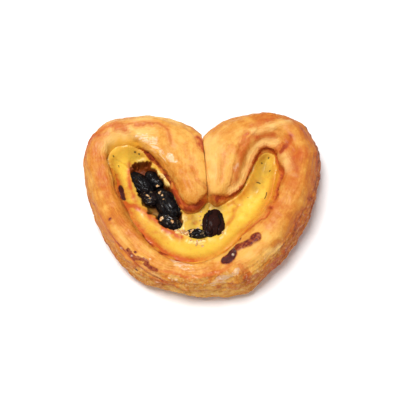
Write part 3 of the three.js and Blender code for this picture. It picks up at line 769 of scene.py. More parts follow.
def dough_finish(settings):
    finish = Finish(
        "baked dough", (0.9, 0.45, 0.15), Subsurface_Weight=0.12, Coat_Roughness=0.3, Coat_IOR=1.45,
        Specular_IOR_Level=0.25)
    place = finish.place()
    flow = finish.mark("flow", "Vector")
    toast, stain, scorch = finish.mark("toast"), finish.mark("stain"), finish.mark("scorch")
    yolk, sheen, crust = finish.mark("yolk"), finish.mark("sheen"), finish.mark("crust")

    mottle = finish.noise(place, 4, 4)
    fine = finish.noise(place, 1.1, 4, 0.6)
    streaks = finish.noise(finish.scaled(flow, (0.12, 0.12, 1)), 1.1, 4, 0.6)
    warm = finish.noise(place, 7, 3).between(0.5, 0.68)
    speckle = finish.noise(place, 1.9, 3)
    baked = toast + (mottle - 0.5) * 1.4 + (streaks - 0.5) * (0.6 - 0.3 * crust)
    baked = baked + (fine - 0.5) * (0.6 + 0.9 * crust) + (speckle - 0.5) * (0.2 + 1.3 * crust)
    stops = ((0, settings.pale), (0.4, settings.golden), (0.78, settings.brown), (1, settings.dark))
    colour = finish.node("ShaderNodeValToRGB", {"stops": stops}, {"Fac": baked * 0.72})
    colour = finish.mix(colour, settings.yolk, (yolk + (mottle - 0.5) * 0.6).clamped() * 0.85)
    colour = finish.mix(colour, settings.cream, (finish.mark("pale") * (0.5 + mottle)).clamped() * 0.75)
    # The creases, ledge feet and seams are darkened here: stains of egg wash, and painted shade.
    wash_and_shade = stain * (0.55 + 0.5 * streaks + 0.4 * fine) + 0.22 * warm * streaks
    colour = finish.mix(colour, settings.crease, wash_and_shade.clamped() * 0.88)
    colour = finish.mix(colour, settings.deep, ((wash_and_shade - 0.8) * 2.5).clamped() * 0.75)
    dry = crust * finish.noise(place, 1.7, 4, 0.6).between(0.54, 0.7) * 0.32
    burnt = finish.mix(settings.caramel, settings.scorched, (scorch + (fine - 0.5) * 1.2).between(0.75, 1.1))
    colour = finish.mix(colour, burnt, (scorch * (0.5 + 1.35 * fine)).clamped())
    # Painted highlights: the sheen mark lightens the colour to the flake colour as glints of the glaze; dry
    # adds the crust's pale flakes.
    glint = sheen * (streaks + (fine - 0.5) * 0.6).between(0.4, 0.55)
    colour = finish.mix(colour, settings.flake_and_highlight, (glint * 0.7 + dry).clamped())

    rough = 0.52 + 0.16 * fine + 0.14 * crust - 0.16 * sheen - 0.12 * scorch - 0.05 * yolk
    glaze = (0.1 + 0.7 * glint + 0.12 * scorch + 0.15 * stain - 0.1 * crust) * (0.6 + 0.8 * mottle)
    flakes = finish.noise(finish.scaled(flow, (0.25, 0.25, 1)), 0.7, 5, 0.65)
    pits = finish.noise(place, 0.5, 4, 0.7)
    height = 0.55 * flakes + 0.35 * pits + crust * 0.5 * finish.cells(place, 1.3)
    finish.feed(
        Base_Color=colour, Roughness=rough, Coat_Weight=glaze.clamped(), Normal=finish.bump(height, 0.5))
    return finish.material


class PASTRY_OT_dough(bpy.types.Operator):
    """Make the baked strip of laminated dough and the base under the filling"""

    bl_idname = "pastry.dough"
    bl_label = "Dough"

    def execute(self, context):
        settings = context.scene.pastry_dough
        strip = Strip()
        surface, flow, marks = dough_surface(strip, settings)
        low, high = (np.array(corner) for corner in CAD_BOX)
        placed = np.clip(to_frame(strip)(surface), low - PROUD * MM, high + PROUD * MM)
        placed[..., 2] = np.maximum(placed[..., 2], low[2])
        faces = ring_faces(*marks["toast"].shape)
        dough = add_piece("dough_crust", placed.reshape(-1, 3), faces, marks, {"flow": flow})
        close_with_cap(dough)
        dough.data.materials.append(dough_finish(settings))
        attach(dough, "root")
        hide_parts(DOUGH_NODE)
        return {"FINISHED"}


# ---- Custard ----
CUSTARD_STEP = 0.3  # spacing of the custard's points, in millimetres
CUSTARD_TUCK = 1.3  # how far it runs on under the lip of the dough
CUSTARD_CLEARANCE = 0.5  # room between its underside and the dough below
CUSTARD_LEVEL = 15.7  # height of its top away from the edges
PIT_FLOOR = 11  # height of the floor of the hollow with the raisins
LIP_STEP = 4  # one point of the lip in so many is enough to follow it
# The pit's rim is torn where x + TORN_SLOPE * y comes past -TORN_START, away from the wall of the dough.
TORN_SLOPE, TORN_START, TORN_FADE = 0.66, 19, 6
# How the custard meets the dough: station on the strip, how far above the lip it stands, how far in from the
# lip the slope down from there reaches, and how brown it is there.
CUSTARD_EDGE = (
    (0, 0.6, 2, 0.2), (0.8, -0.3, 1.6, 0.3), (5.6, -0.2, 1.7, 0.3), (6.4, 2.2, 3.6, 0.4),
    (7.2, 4.3, 5, 0.3), (8.6, 4.5, 5, 0.3), (9.6, 2.6, 3.4, 0.5), (10.6, 1.2, 2.6, 0.7),
    (11.5, 0.2, 2.4, 0.5), (12.4, 0.3, 3, 1.1), (13.2, 1.2, 3.8, 1.4), (15, 1.8, 3.8, 1.4),
    (16, 1.9, 3.8, 0.7), (18, 1.8, 3.4, 0.5), (20.5, 1.4, 2.8, 0.8), (22, 0.8, 2.4, 0.4),
    (23.5, 0.3, 1.8, 0.3), (30.2, -0.2, 1.6, 0.3), (31, 0.6, 2, 0.2),
)
# The hollow that the raisins burst out of the custard, as a closed outline.
PIT = ((-33, 18.6), (-29.5, 19.4), (-26.1, 20), (-23.6, 18), (-21.6, 15), (-18.8, 11.6), (-16.4, 8.4),
       (-13.2, 5), (-11.2, 0.6), (-10, -4.8), (-9.4, -10.4), (-11.4, -12.4), (-16, -10.8), (-21.5, -7.2),
       (-26.2, -2), (-29, 4.2), (-31.8, 11.5))
# Marks on the custard: kind, the line they follow, how far they reach, strength, and how far they stand up.
CUSTARD_MARKS = (
    ("browned", ((-33.2, 18.6), (-33.3, 14.7), (-33, 10.1), (-32.2, 6.3), (-30.6, 3)), 1.1, 1.1, 0.2),
    ("browned", ((-39.6, 12.6), (-37.2, 6.9), (-35.2, 3)), 1.9, 0.9, 0),
    ("browned", ((-38, -1), (-34.2, -1), (-30.2, -1.4), (-27, -2.9), (-23.5, -5.9), (-20.5, -8.4),
                 (-17, -11.5), (-13.7, -13.6), (-10.3, -15.6)), 1.8, 1.3, 0.8),
    ("browned", ((-33.6, 6.4), (-31.4, 3.4), (-30.4, 1)), 1.8, 0.7, 0),
    ("browned", ((-33, -4), (-28, -8.5), (-22.5, -12.5), (-17, -16)), 2.6, 0.35, 0),
    ("browned", ((-37.4, -2.4), (-34, -3.6), (-31, -4.6)), 2.2, 0.75, 0),
    ("browned", ((23.8, 11), (22.1, 8.4), (19.5, 5), (16.5, 2)), 1.4, 0.5, 0),
    ("browned", ((30.5, -2.5), (29, -6.4), (25.9, -8.1), (22.1, -10.4), (16, -14.5)), 1.6, 0.45, 0),
    ("browned", ((13.9, -3), (13.7, -5.7), (12, -8.3), (10.4, -10), (9.5, -11.8)), 0.9, 0.75, -0.4),
    ("browned", ((11.3, -1), (13.5, 0.2), (15.7, -1), (14.6, -2.7), (13.6, -4.4)), 0.7, 0.6, -0.2),
    ("browned", ((-5.7, -6.7), (-5.5, -6.6)), 1.1, 0.8, -0.5),
    ("browned", ((-3.6, -8.9), (-3.4, -9)), 1, 0.9, -0.5),
    ("browned", ((-7.6, -4.6), (-6.6, -5)), 1, 0.6, -0.3),
    ("khaki", ((-0.5, -2.2), (2, -0.6), (4, -0.8), (7, -2)), 2.2, 1, 0),
    ("khaki", ((-8, -7), (-4, -6.4), (-5, -11)), 2.6, 0.6, 0),
    ("khaki", ((27.7, 20.5), (27.6, 16), (26, 12), (23.5, 7)), 3, 0.7, 0),
    ("khaki", ((-30.4, 22.6), (-28.6, 21.6)), 1.8, 0.4, 0),
    ("khaki", ((-27.6, 3.4), (-25, 0.6), (-23, -2.4), (-20.5, -4.5)), 2, 1, 0),
    ("khaki", ((-30.8, 9.5), (-30, 6.5)), 1, 0.7, 0),
    ("bright", ((-39, 23), (-38, 19.5), (-36.6, 15)), 2.6, 1, 0),
    ("bright", ((19.5, -2.4), (22.7, 0.7)), 2.4, 1, 0.5),
    ("bright", ((17.6, -6.2), (18.6, -7)), 2.2, 1, 0.5),
    ("bright", ((25.7, 3), (28.4, 11.8)), 2, 0.7, 0.3),
    ("bright", ((29.8, 20.5), (30.2, 18.5)), 1.8, 0.8, 0.3),
    ("bright", ((-15.8, -17.8), (-8.5, -22.4), (-3, -22), (6.3, -18.4)), 2.6, 0.25, 0.2),
    # dark: painted shade between and under the raisins, darkest in the pit, with a little raisin juice
    ("dark", ((-28.4, 10.6), (-26.6, 7), (-24, 3.5), (-19.5, 2.5), (-15, 0), (-14.6, -5),
              (-14.8, -9)), 3.4, 1, 0),
    ("dark", ((-23.5, 12), (-20.4, 9.6)), 2.6, 1, 0),
    ("dark", ((3.6, -13.6), (7.8, -12.6)), 3.2, 0.8, 0),
    ("dark", ((-5.6, -15), (1, -15.2)), 1.5, 0.7, 0),
    ("cream", ((-11.7, -13.6), (-9.2, -14.2), (-6.4, -14.8)), 0.8, 1, 0.4),
    ("cream", ((-5.7, -17.8), (-2.4, -18.2), (0.6, -17.4)), 0.9, 0.8, 0.3),
    ("cream", ((7.6, -16.6), (9.4, -14.4), (10.6, -11)), 0.8, 0.7, 0.3),
    ("cream", ((-20.8, 15.2), (-17.6, 10.8), (-14.4, 7.4)), 0.8, 0.6, 0.3),
    ("burnt", ((-36.7, 7.2), (-36.3, 4.4), (-35.5, 1.8)), 1.4, 1, 0.3),
    ("speck", ((-30.8, 23.4), (-30.4, 23.4)), 0.5, 1, 0),
    ("speck", ((-28.9, 22.9), (-28.7, 22.7)), 0.45, 1, 0),
    ("speck", ((-40.2, 20.8), (-40, 20.6)), 0.4, 1, 0),
    ("speck", ((-38, 17.8), (-37.8, 17)), 0.4, 0.8, 0),
    ("speck", ((29.6, 21.4), (29.5, 21.1)), 0.45, 1, 0),
    ("speck", ((26.6, 19), (26.4, 19)), 0.45, 1, 0),
    ("speck", ((30.1, 15.4), (29.9, 15.2)), 0.45, 1, 0),
    ("speck", ((24.2, 10.2), (24.9, 10.1), (25.6, 9.7)), 0.42, 1, 0),
    ("speck", ((28.3, 4.7), (28.1, 3.3), (27.4, 1.8)), 0.38, 0.9, 0),
    ("speck", ((20, 3), (20.1, 2.9)), 0.4, 0.8, 0),
)


class CustardSettings(bpy.types.PropertyGroup):
    waviness: length_setting("Waviness", "Height of the custard's ripples", 0.35)
    body: colour_setting("Custard", "Custard over most of the filling", 227, 183, 60)
    bright: colour_setting("Bright", "Where it set thickest", 244, 200, 72)
    browned: colour_setting("Browned", "Where the oven browned it", 200, 94, 28)
    pit: colour_setting("Pit", "Thin custard under the raisins", 122, 54, 14)
    # Dark paints the shade around and between the raisins, with a little of their juice.
    dark: colour_setting("Dark", "Juice of the raisins around them", 26, 15, 9)
    khaki: colour_setting("Khaki", "Custard stained by raisins", 158, 120, 48)
    cream: colour_setting("Cream", "Torn edges and crumbs", 250, 222, 150)
    burnt: colour_setting("Burnt", "Where it burnt against the dough", 56, 12, 20)
    speck: colour_setting("Speck", "Specks of spice", 70, 52, 20)


def line_distance(points, start, end):
    """Distance from each point to the nearest of the straight runs from start to end, in the plan."""
    run = end - start
    x, y = points[:, 0:1], points[:, 1:2]
    along = ((x - start[:, 0]) * run[:, 0] + (y - start[:, 1]) * run[:, 1]) / (run**2).sum(axis=1)
    along = np.clip(along, 0, 1)
    return np.hypot(x - start[:, 0] - along * run[:, 0], y - start[:, 1] - along * run[:, 1]).min(axis=1)


def inside_distance(points, outline):
    """Distance from each point to a closed outline, positive inside it."""
    start = np.asarray(outline, float)
    end = np.roll(start, -1, axis=0)
    x, y = points[:, 0:1], points[:, 1:2]
    rising = (start[:, 1] > y) != (end[:, 1] > y)
    rise = end[:, 1] - start[:, 1]
    slope = (end[:, 0] - start[:, 0]) / np.where(rise == 0, TINY, rise)
    crossings = rising & (x < start[:, 0] + (y - start[:, 1]) * slope)
    gap = line_distance(points, start, end)
    return np.where(crossings.sum(axis=1) % 2 == 1, gap, -gap)


def custard_top(plan, strip, settings):
    """Height of the custard at each point of the plan, and the marks that colour it."""
    place = np.concatenate([plan, np.zeros((len(plan), 1))], axis=1)
    lip_line = strip.lip[::LIP_STEP]
    lip = inside_distance(plan, lip_line)
    nearest = np.argmin(np.hypot(plan[:, 0:1] - lip_line[:, 0], plan[:, 1:2] - lip_line[:, 1]), axis=1)
    station, lip_height = (along[::LIP_STEP][nearest] for along in (strip.station, strip.lip_height))
    stand, reach, brown = (table_at(CUSTARD_EDGE, station, column) for column in (1, 2, 3))
    ripple = lattice_noise(place, 7, 21) + 0.4 * lattice_noise(place, 2.6, 22)
    height = CUSTARD_LEVEL + settings.waviness / MM * ripple
    edge = lip_height + stand + 0.3 * lattice_noise(place, 3, 28)
    height = height + (edge - CUSTARD_LEVEL) * np.exp(-((np.maximum(lip, 0) / reach) ** 1.5))

    torn = 0.7 * lattice_noise(place, 2.4, 23) + 0.35 * lattice_noise(place, 0.9, 24)
    pit_line = closed_curve(PIT, np.arange(0, len(PIT), 0.25))
    pit = inside_distance(plan, pit_line) + torn
    torn_side = smoothstep(-TORN_FADE, TORN_FADE, plan[:, 0] + plan[:, 1] * TORN_SLOPE + TORN_START)
    rim = bell(pit + 0.8, 0.7) * smoothstep(-0.5, 0.6, lattice_noise(place, 4, 25) + 0.3) * torn_side
    sunk = smoothstep(0, 1.8, pit)

    marks = {kind: np.zeros(len(plan)) for kind, *_ in CUSTARD_MARKS}
    ragged = 1 + 0.3 * lattice_noise(place, 1.5, 27)
    for kind, line, radius, strength, rise in CUSTARD_MARKS:
        line = np.array(line, float)
        near = bell(line_distance(plan, line[:-1], line[1:]), radius)
        height = height + rise * near
        marks[kind] = np.maximum(marks[kind], strength * near * (1 if kind in ("speck", "dark") else ragged))
    marks["cream"] = np.maximum(smoothstep(0.25, 0.7, marks["cream"]), 0.9 * rim) * (1 - sunk)
    height = height + 0.6 * rim + 0.3 * marks["cream"] * lattice_noise(place, 1.2, 29)
    height = height + (PIT_FLOOR + 0.5 * lattice_noise(place, 3, 26) - height) * sunk
    marks["pit"] = smoothstep(-0.2, 0.15, pit)
    marks["lip"] = brown * bell(np.maximum(lip, 0), 0.7 * reach)
    return height, marks


def custard_finish(settings):
    finish = Finish(
        "set custard", (1.4, 0.8, 0.2), Subsurface_Weight=0.15, Coat_Roughness=0.28, Specular_IOR_Level=0.2)
    place = finish.place()
    mottle, fine = finish.noise(place, 6, 4), finish.noise(place, 1.2, 4, 0.6)
    dark, sunk = finish.mark("dark"), finish.mark("pit")
    bright = (finish.mark("bright") * 1.2 + mottle * 1.6 - 0.75).clamped()
    colour = finish.mix(settings.body, settings.bright, bright)
    lip = finish.mark("lip") * (0.5 + fine)
    patch = finish.noise(place, 3.2, 4, 0.6).between(0.52, 0.72)
    brown = finish.mark("browned") * (0.45 + 0.6 * fine) + lip * 0.8 + patch * 0.25
    colour = finish.mix(colour, settings.browned, brown.clamped())
    colour = finish.mix(colour, settings.khaki, (finish.mark("khaki") * (0.3 + 0.7 * fine)).clamped())
    colour = finish.mix(colour, settings.cream, (finish.mark("cream") * (0.35 + 0.8 * fine)).clamped())
    colour = finish.mix(colour, settings.burnt, finish.mark("burnt").between(0.4, 0.7) * 0.96)
    under = finish.mix(settings.pit, settings.khaki, (finish.mark("khaki") * (0.2 + fine)).clamped())
    colour = finish.mix(colour, under, sunk)
    # painted shade around the raisins, strongest in the pit
    colour = finish.mix(colour, settings.dark, (dark * (0.06 + 1.15 * sunk)).clamped() * 0.95)
    pepper = finish.cells(place, 2.4).between(0.12, 0.04) * finish.noise(place, 4, 2).between(0.52, 0.62)
    speck = (finish.mark("speck").between(0.4, 0.75) + pepper * 0.5).clamped()
    colour = finish.mix(colour, settings.speck, speck * 0.85)
    height = finish.noise(place, 0.6, 5, 0.65) * 0.5 + finish.noise(place, 2, 3) * 0.6
    finish.feed(
        Base_Color=colour, Roughness=0.42 + 0.3 * fine - 0.1 * sunk,
        Coat_Weight=(0.7 * mottle.between(0.45, 0.7) + 0.06) * (1 - 0.9 * sunk),
        Normal=finish.bump(height, 0.35))
    return finish.material


class PASTRY_OT_custard(bpy.types.Operator):
    """Make the custard in the hollow of the dough, with the pit the raisins sit in"""

    bl_idname = "pastry.custard"
    bl_label = "Custard"

    def execute(self, context):
        settings = context.scene.pastry_custard
        strip = Strip()
        low, high = strip.lip.min(axis=0) - CUSTARD_TUCK, strip.lip.max(axis=0) + CUSTARD_TUCK
        x, y = (np.arange(start, end, CUSTARD_STEP) for start, end in zip(low, high))
        plan = np.stack(np.meshgrid(x, y), axis=-1)
        shape = plan.shape[:2]
        inside = inside_distance(plan.reshape(-1, 2), strip.lip[::LIP_STEP]) > -CUSTARD_TUCK
        inside = inside.reshape(shape)
        cell = inside[:-1, :-1] & inside[1:, :-1] & inside[:-1, 1:] & inside[1:, 1:]
        used = np.zeros(shape, bool)
        for row, column in product((0, 1), repeat=2):
            used[row:shape[0] - 1 + row, column:shape[1] - 1 + column] |= cell
        number = np.cumsum(used).reshape(shape) - 1
        kept = plan[used]
        height, marks = custard_top(kept, strip, settings)
        top = np.column_stack([kept, height])
        base = np.column_stack([kept, np.full(len(kept), BASE_LEVEL + CUSTARD_CLEARANCE)])
        corners = [number[:-1, :-1], number[:-1, 1:], number[1:, 1:], number[1:, :-1]]
        quads = np.stack([corner[cell] for corner in corners], axis=1)
        faces = quads.tolist() + (quads[:, ::-1] + len(kept)).tolist()
        sides = dict.fromkeys(side for quad in quads.tolist() for side in zip(quad, quad[1:] + quad[:1]))
        rim = [(start, end) for start, end in sides if (end, start) not in sides]
        faces += [(end, start, start + len(kept), end + len(kept)) for start, end in rim]
        doubled = {name: np.concatenate([values, values]) for name, values in marks.items()}
        custard = add_piece("custard", to_frame(strip)(np.concatenate([top, base])), faces, doubled)
        custard.data.materials.append(custard_finish(settings))
        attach(custard, "root")
        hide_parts(CUSTARD_NODE)
        return {"FINISHED"}


# ---- Raisins ----
# Each raisin: its node, length, width and height in millimetres, how far it lies from the middle of its place
# in the plan, its turn about the vertical and its lean in degrees, how brown it is (0 is black) and how much
# custard clings to it.
RAISINS = (
    ("raisin_upper_left", (13.6, 8, 6.4), (0.6, -0.9), -44, 10, 0, 0),
    ("raisin_upper_right", (10.2, 7, 5.8), (-0.4, -0.9), -47, -20, 0.05, 0),
    ("raisin_centre", (9.2, 7, 5.4), (0.2, 1.1), -35, -12, 0.4, 0.3),
    ("raisin_under_arm", (16.2, 9.6, 7.4), (-0.7, -0.8), -57, 14, 0, 0.05),
    ("raisin_lower", (11.8, 7.8, 6.4), (-0.2, 0.2), -35, -8, 0.05, 0.15),
    ("raisin_round", (15.6, 11.8, 7.6), (-0.25, 0.5), 95, 6, 1, 0),
    ("raisin_small", (11, 5, 4.4), (-0.4, 0.7), -4, 0, 0.05, 0.35),
)
RAISIN_RINGS, RAISIN_SIDES = 72, 112
RAISIN_SEED, SEEDS_PER_RAISIN = 31, 10


class RaisinSettings(bpy.types.PropertyGroup):
    wrinkle: bpy.props.FloatProperty(
        name="Wrinkles", description="Depth of the folds as a share of the raisin",
        default=0.2, min=0, max=0.5, subtype="FACTOR")
    black: colour_setting("Black", "Skin in the folds", 4, 3, 6)
    skin: colour_setting("Skin", "Skin on the ridges", 16, 10, 13)
    brown: colour_setting("Brown", "Skin of a paler raisin", 46, 17, 11)
    crumb: colour_setting("Crumb", "Custard that clings to the skin", 214, 184, 140)


def raisin_surface(size, wrinkle, seed):
    """Points of a wrinkled raisin that lies along X, how deep each is in a fold, and its faces."""
    rings = np.linspace(0, np.pi, RAISIN_RINGS + 1)[1:-1, None]
    turns = np.arange(RAISIN_SIDES)[None, :] * 2 * np.pi / RAISIN_SIDES
    round_parts = (np.cos(rings), np.sin(rings) * np.cos(turns), np.sin(rings) * np.sin(turns))
    ball = np.stack(np.broadcast_arrays(*round_parts), axis=-1)
    ball = np.concatenate([[[1, 0, 0]], ball.reshape(-1, 3), [[-1, 0, 0]]])
    warp = 0.3 * np.stack([lattice_noise(ball, 0.7, seed + step) for step in range(3)], axis=1)
    drawn = ball * (0.55, 1.25, 1.25) + warp  # so that the folds are longer than they are wide
    ridge = np.minimum(np.abs(lattice_noise(drawn, 0.55, seed + 3)) * 2.2, 1) ** 0.7
    small = np.minimum(np.abs(lattice_noise(drawn, 0.24, seed + 4)) * 2, 1) ** 0.7
    depth = 0.72 * (1 - ridge) + 0.28 * (1 - small)
    radius = 1 - wrinkle * depth + 0.09 * lattice_noise(ball, 1.1, seed + 5)
    radius = radius - 0.12 * bell(np.linalg.norm(ball - (1, 0, 0), axis=1), 0.3)  # the dent of its stalk
    points = ball * radius[:, None] * np.array(size) / 2
    first, last = 0, len(points) - 1
    rows = RAISIN_RINGS - 1
    faces = []
    for side in range(RAISIN_SIDES):
        beside = (side + 1) % RAISIN_SIDES
        faces.append((first, 1 + side, 1 + beside))
        faces.append((last, 1 + (rows - 1) * RAISIN_SIDES + beside, 1 + (rows - 1) * RAISIN_SIDES + side))
        for row in range(rows - 1):
            start = 1 + row * RAISIN_SIDES
            after = start + RAISIN_SIDES
            faces.append((start + side, after + side, after + beside, start + beside))
    return points, depth, faces


def raisin_finish(settings):
    finish = Finish(
        "raisin skin", (0.8, 0.3, 0.2), Subsurface_Weight=0.03, Coat_Roughness=0.16, Specular_IOR_Level=0.1)
    place = finish.place()
    fold, brown, crumb = finish.mark("fold"), finish.mark("brown"), finish.mark("crumb")
    fine = finish.noise(place, 0.8, 4, 0.6)
    shine = finish.noise(place, 3.5, 2).between(0.42, 0.62)
    skin = finish.mix(settings.skin, settings.brown, brown * (0.5 + fine))
    colour = finish.mix(skin, settings.black, (fold * 1.2 + 0.6 - 0.5 * brown - (fine - 0.5) * 0.8).clamped())
    stuck = (crumb * finish.noise(place, 1.3, 3, 0.6).between(0.58, 0.64)).clamped()
    colour = finish.mix(colour, settings.crumb, stuck * 0.9)
    height = finish.noise(place, 0.5, 4, 0.6) + 0.8 * stuck
    finish.feed(
        Base_Color=colour, Roughness=0.4 + 0.3 * fine + 0.15 * brown,
        Coat_Weight=((0.04 + 0.6 * shine) * (1 - 0.85 * brown) - 0.6 * stuck).clamped(),
        Normal=finish.bump(height, 0.4))
    return finish.material


class PASTRY_OT_raisins(bpy.types.Operator):
    """Make the seven raisins baked into the custard"""

    bl_idname = "pastry.raisins"
    bl_label = "Raisins"

    def execute(self, context):
        settings = context.scene.pastry_raisins
        material = raisin_finish(settings)
        for count, (node, size, aside, turn, lean, brown, crumb) in enumerate(RAISINS):
            seed = RAISIN_SEED + SEEDS_PER_RAISIN * count
            points, depth, faces = raisin_surface(size, settings.wrinkle, seed)
            low, high = (np.array(corner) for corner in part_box(node))
            spin = np.array(Matrix.Rotation(radians(turn), 3, "Z") @ Matrix.Rotation(radians(lean), 3, "X"))
            placed = (points @ spin.T + (*aside, 0)) * MM + (low + high) / 2
            even = np.ones(len(points))
            marks = {"fold": depth, "brown": even * brown, "crumb": even * crumb}
            raisin = add_piece(node.replace("raisin", "raisin_skin"), placed, faces, marks)
            raisin.data.materials.append(material)
            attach(raisin, "root")
            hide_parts(node)
        return {"FINISHED"}


# ---- Crumbs ----
# Torn bits of set custard on the filling and the raisins: place in the plan, length and turn in degrees.
CRUMBS = (
    (-11.4, -12.6, 2.8, -20), (-9.4, -13.2, 3.4, 10), (-7.2, -14, 2.4, -15), (-5, -13.4, 1.6, 40),
    (-5.5, -17.3, 1.2, 80), (-2.6, -17.6, 1.6, 90), (-1, -17.3, 0.8, 30), (0.4, -16.8, 1, 70),
    (8.9, -14, 1.5, 120), (-0.3, -20, 1.3, 20), (-3, -19.6, 1.6, 75),
    (-0.9, -4, 1.2, 160), (-1.4, -6, 1.3, 180), (-1.5, -8, 1.1, 5), (-0.8, -10.1, 0.9, 30),
    (-2.4, -11.6, 1.2, 20), (-24.6, 3.6, 1.3, 150), (-23.8, 2.4, 0.9, 20), (-19.4, 4.6, 1.4, 60),
    (-18.2, 3.2, 1, 100), (-17.6, 1.4, 0.6, 20), (-18.2, -7.4, 1.7, 70), (-13.6, -9.2, 2, 110),
    (-20.4, 8.2, 1.5, 30),
)
CRUMB_ROUNDS = 3  # how many times a crumb's faces are divided
CRUMB_REACH = 0.5  # how far around its place a crumb looks for what it lies on, in millimetres
CRUMB_SINK = 0.12  # how far it sinks into that, as a share of its length
CRUMB_WIDTH = 0.64  # as a share of its length
CRUMB_SEED = 60


class CrumbSettings(bpy.types.PropertyGroup):
    thickness: bpy.props.FloatProperty(
        name="Thickness", description="Height of a crumb as a share of its length",
        default=0.5, min=0.1, max=1, subtype="FACTOR")
    pale: colour_setting("Pale", "Dry tips of the crumbs", 236, 206, 166)
    yellow: colour_setting("Yellow", "Custard of the crumbs", 196, 138, 64)


def crumb_finish(settings):
    finish = Finish(
        "dry custard", (0.8, 0.6, 0.3), Subsurface_Weight=0.2, Coat_Roughness=0.25, Specular_IOR_Level=0.3)
    place = finish.place()
    fine = finish.noise(place, 0.7, 4, 0.6)
    colour = finish.mix(settings.yellow, settings.pale, fine.between(0.42, 0.62))
    finish.feed(
        Base_Color=colour, Roughness=0.5 + 0.3 * fine, Coat_Weight=fine * 0.4,
        Normal=finish.bump(finish.noise(place, 0.4, 4, 0.6), 0.2))
    return finish.material


class PASTRY_OT_crumbs(bpy.types.Operator):
    """Scatter torn crumbs of custard over the filling and the raisins"""

    bl_idname = "pastry.crumbs"
    bl_label = "Crumbs"

    def execute(self, context):
        settings = context.scene.pastry_crumbs
        place = to_frame(Strip())
        under = [piece for piece in bpy.data.objects if piece.name.startswith(("custard", "raisin_skin"))]
        ground = np.concatenate([[vertex.co[:] for vertex in piece.data.vertices] for piece in under])
        made = bmesh.new()
        for seed, (x, y, length, turn) in enumerate(CRUMBS):
            foot = place((x, y, 0))
            gap = np.hypot(ground[:, 0] - foot[0], ground[:, 1] - foot[1])
            level = ground[gap < CRUMB_REACH * MM, 2].max() - CRUMB_SINK * length * MM
            spin = Matrix.Translation((foot[0], foot[1], level)) @ Matrix.Rotation(radians(turn), 4, "Z")
            ball = bmesh.ops.create_icosphere(made, subdivisions=CRUMB_ROUNDS, radius=1)["verts"]
            shape = np.array([vertex.co[:] for vertex in ball])
            lumps = 1 + 0.45 * rough_noise(shape, 0.9, CRUMB_SEED + seed)
            for vertex, lump in zip(ball, lumps):
                half = Vector((1, CRUMB_WIDTH, settings.thickness)) / 2 * length * MM * lump
                vertex.co = spin @ (vertex.co * half)
        mesh = bpy.data.meshes.new("custard_crumbs")
        made.to_mesh(mesh)
        made.free()
        mesh.shade_smooth()
        crumbs = bpy.data.objects.new("custard_crumbs", mesh)
        context.scene.collection.objects.link(crumbs)
        crumbs.data.materials.append(crumb_finish(settings))
        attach(crumbs, "root")
        return {"FINISHED"}


# ---- Stage ----
class StageSettings(bpy.types.PropertyGroup):
    lens: bpy.props.FloatProperty(
        name="Lens", description="Focal length of the camera", default=100, min=20, unit="CAMERA")
    elevation: bpy.props.FloatProperty(
        name="Elevation", description="How far above the table the camera looks from", default=radians(70),
        subtype="ANGLE")
    view_width: bpy.props.FloatProperty(
        name="View width", description="Width of the picture at the pastry", default=0.18, unit="LENGTH")
    key_power: bpy.props.FloatProperty(
        name="Key light", description="Power of the main light", default=7.6, min=0, unit="POWER")
    sky: bpy.props.FloatProperty(
        name="Surrounding light", description="Strength of the white surroundings", default=0.4, min=0)
    floor: colour_setting("Floor", "Colour of the table", 254, 254, 254)


SENSOR = 36  # width of the camera's sensor, in millimetres
FLOOR_HALF = 3  # half the width of the table, in metres
KEY_ASIDE, KEY_HEIGHT, KEY_SIZE = Vector((-0.15, 0.05, 0)), 0.88, 0.36  # the main light, in metres
AIM_ASIDE, AIM_HEIGHT = Vector((-0.0011, 0.0014, 0)), 0.4  # the camera's aim: metres, share of the height


def aim(thing, place, target):
    """Puts a light or a camera at place, pointing at target, and into the scene."""
    thing.location = place
    thing.rotation_euler = (target - place).to_track_quat("-Z", "Y").to_euler()
    bpy.context.scene.collection.objects.link(thing)


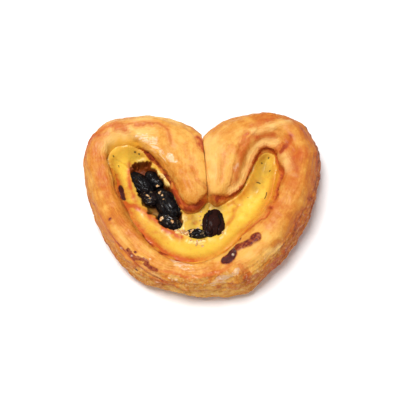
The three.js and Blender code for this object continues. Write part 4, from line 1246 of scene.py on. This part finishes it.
class PASTRY_OT_stage(bpy.types.Operator):
    """Make the table, the lights and the camera"""

    bl_idname = "pastry.stage"
    bl_label = "Stage"

    def execute(self, context):
        settings = context.scene.pastry_stage
        low, high = (Vector(corner) for corner in CAD_BOX)
        foot = Vector(((low.x + high.x) / 2, (low.y + high.y) / 2, low.z))
        height = high.z - low.z

        corners = [(x * FLOOR_HALF, y * FLOOR_HALF, low.z) for x, y in ((-1, -1), (1, -1), (1, 1), (-1, 1))]
        floor = add_piece("table", corners, [(0, 1, 2, 3)])
        finish = Finish("table", Base_Color=as_colour(settings.floor), Roughness=0.9)
        floor.data.materials.append(finish.material)

        world = context.scene.world or bpy.data.worlds.new("studio")
        context.scene.world = world
        world.use_nodes = True
        background = world.node_tree.nodes["Background"]
        background.inputs["Color"].default_value = (1, 1, 1, 1)
        background.inputs["Strength"].default_value = settings.sky

        key = bpy.data.objects.new("key", bpy.data.lights.new("key", "AREA"))
        key.data.shape, key.data.size, key.data.energy = "DISK", KEY_SIZE, settings.key_power
        place = foot + KEY_ASIDE
        place.z = KEY_HEIGHT
        aim(key, place, foot + Vector((0, 0, height / 2)))

        camera = bpy.data.objects.new("camera", bpy.data.cameras.new("camera"))
        camera.data.lens, camera.data.sensor_width = settings.lens, SENSOR
        camera.data.clip_start = 0.01
        target = foot + AIM_ASIDE + Vector((0, 0, AIM_HEIGHT * height))
        away = settings.view_width / SENSOR * settings.lens
        away = away * Vector((0, -cos(settings.elevation), sin(settings.elevation)))
        aim(camera, target + away, target)
        context.scene.camera = camera
        context.scene.view_settings.view_transform = "Standard"
        return {"FINISHED"}


class PASTRY_PT_panel(bpy.types.Panel):
    """The pastry's pieces and their settings"""

    bl_label = "Danish Pastry"
    bl_idname = "PASTRY_PT_panel"
    bl_space_type = "VIEW_3D"
    bl_region_type = "UI"
    bl_category = "Pastry"

    def draw(self, context):
        for operator, name, group in STEPS:
            box = self.layout.box()
            box.operator(operator.bl_idname)
            for setting in group.__annotations__:
                box.prop(getattr(context.scene, name), setting)


STEPS = (
    (PASTRY_OT_stage, "pastry_stage", StageSettings),
    (PASTRY_OT_dough, "pastry_dough", DoughSettings),
    (PASTRY_OT_custard, "pastry_custard", CustardSettings),
    (PASTRY_OT_raisins, "pastry_raisins", RaisinSettings),
    (PASTRY_OT_crumbs, "pastry_crumbs", CrumbSettings),
)


def register():
    for operator, name, group in STEPS:
        bpy.utils.register_class(group)
        setattr(bpy.types.Scene, name, bpy.props.PointerProperty(type=group))
        bpy.utils.register_class(operator)
    bpy.utils.register_class(PASTRY_PT_panel)


def unregister():
    bpy.utils.unregister_class(PASTRY_PT_panel)
    for operator, name, group in STEPS:
        bpy.utils.unregister_class(operator)
        delattr(bpy.types.Scene, name)
        bpy.utils.unregister_class(group)


def main():
    register()
    bpy.ops.pastry.stage()
    bpy.ops.pastry.dough()
    bpy.ops.pastry.custard()
    bpy.ops.pastry.raisins()
    bpy.ops.pastry.crumbs()


if __name__ == "__main__":
    main()
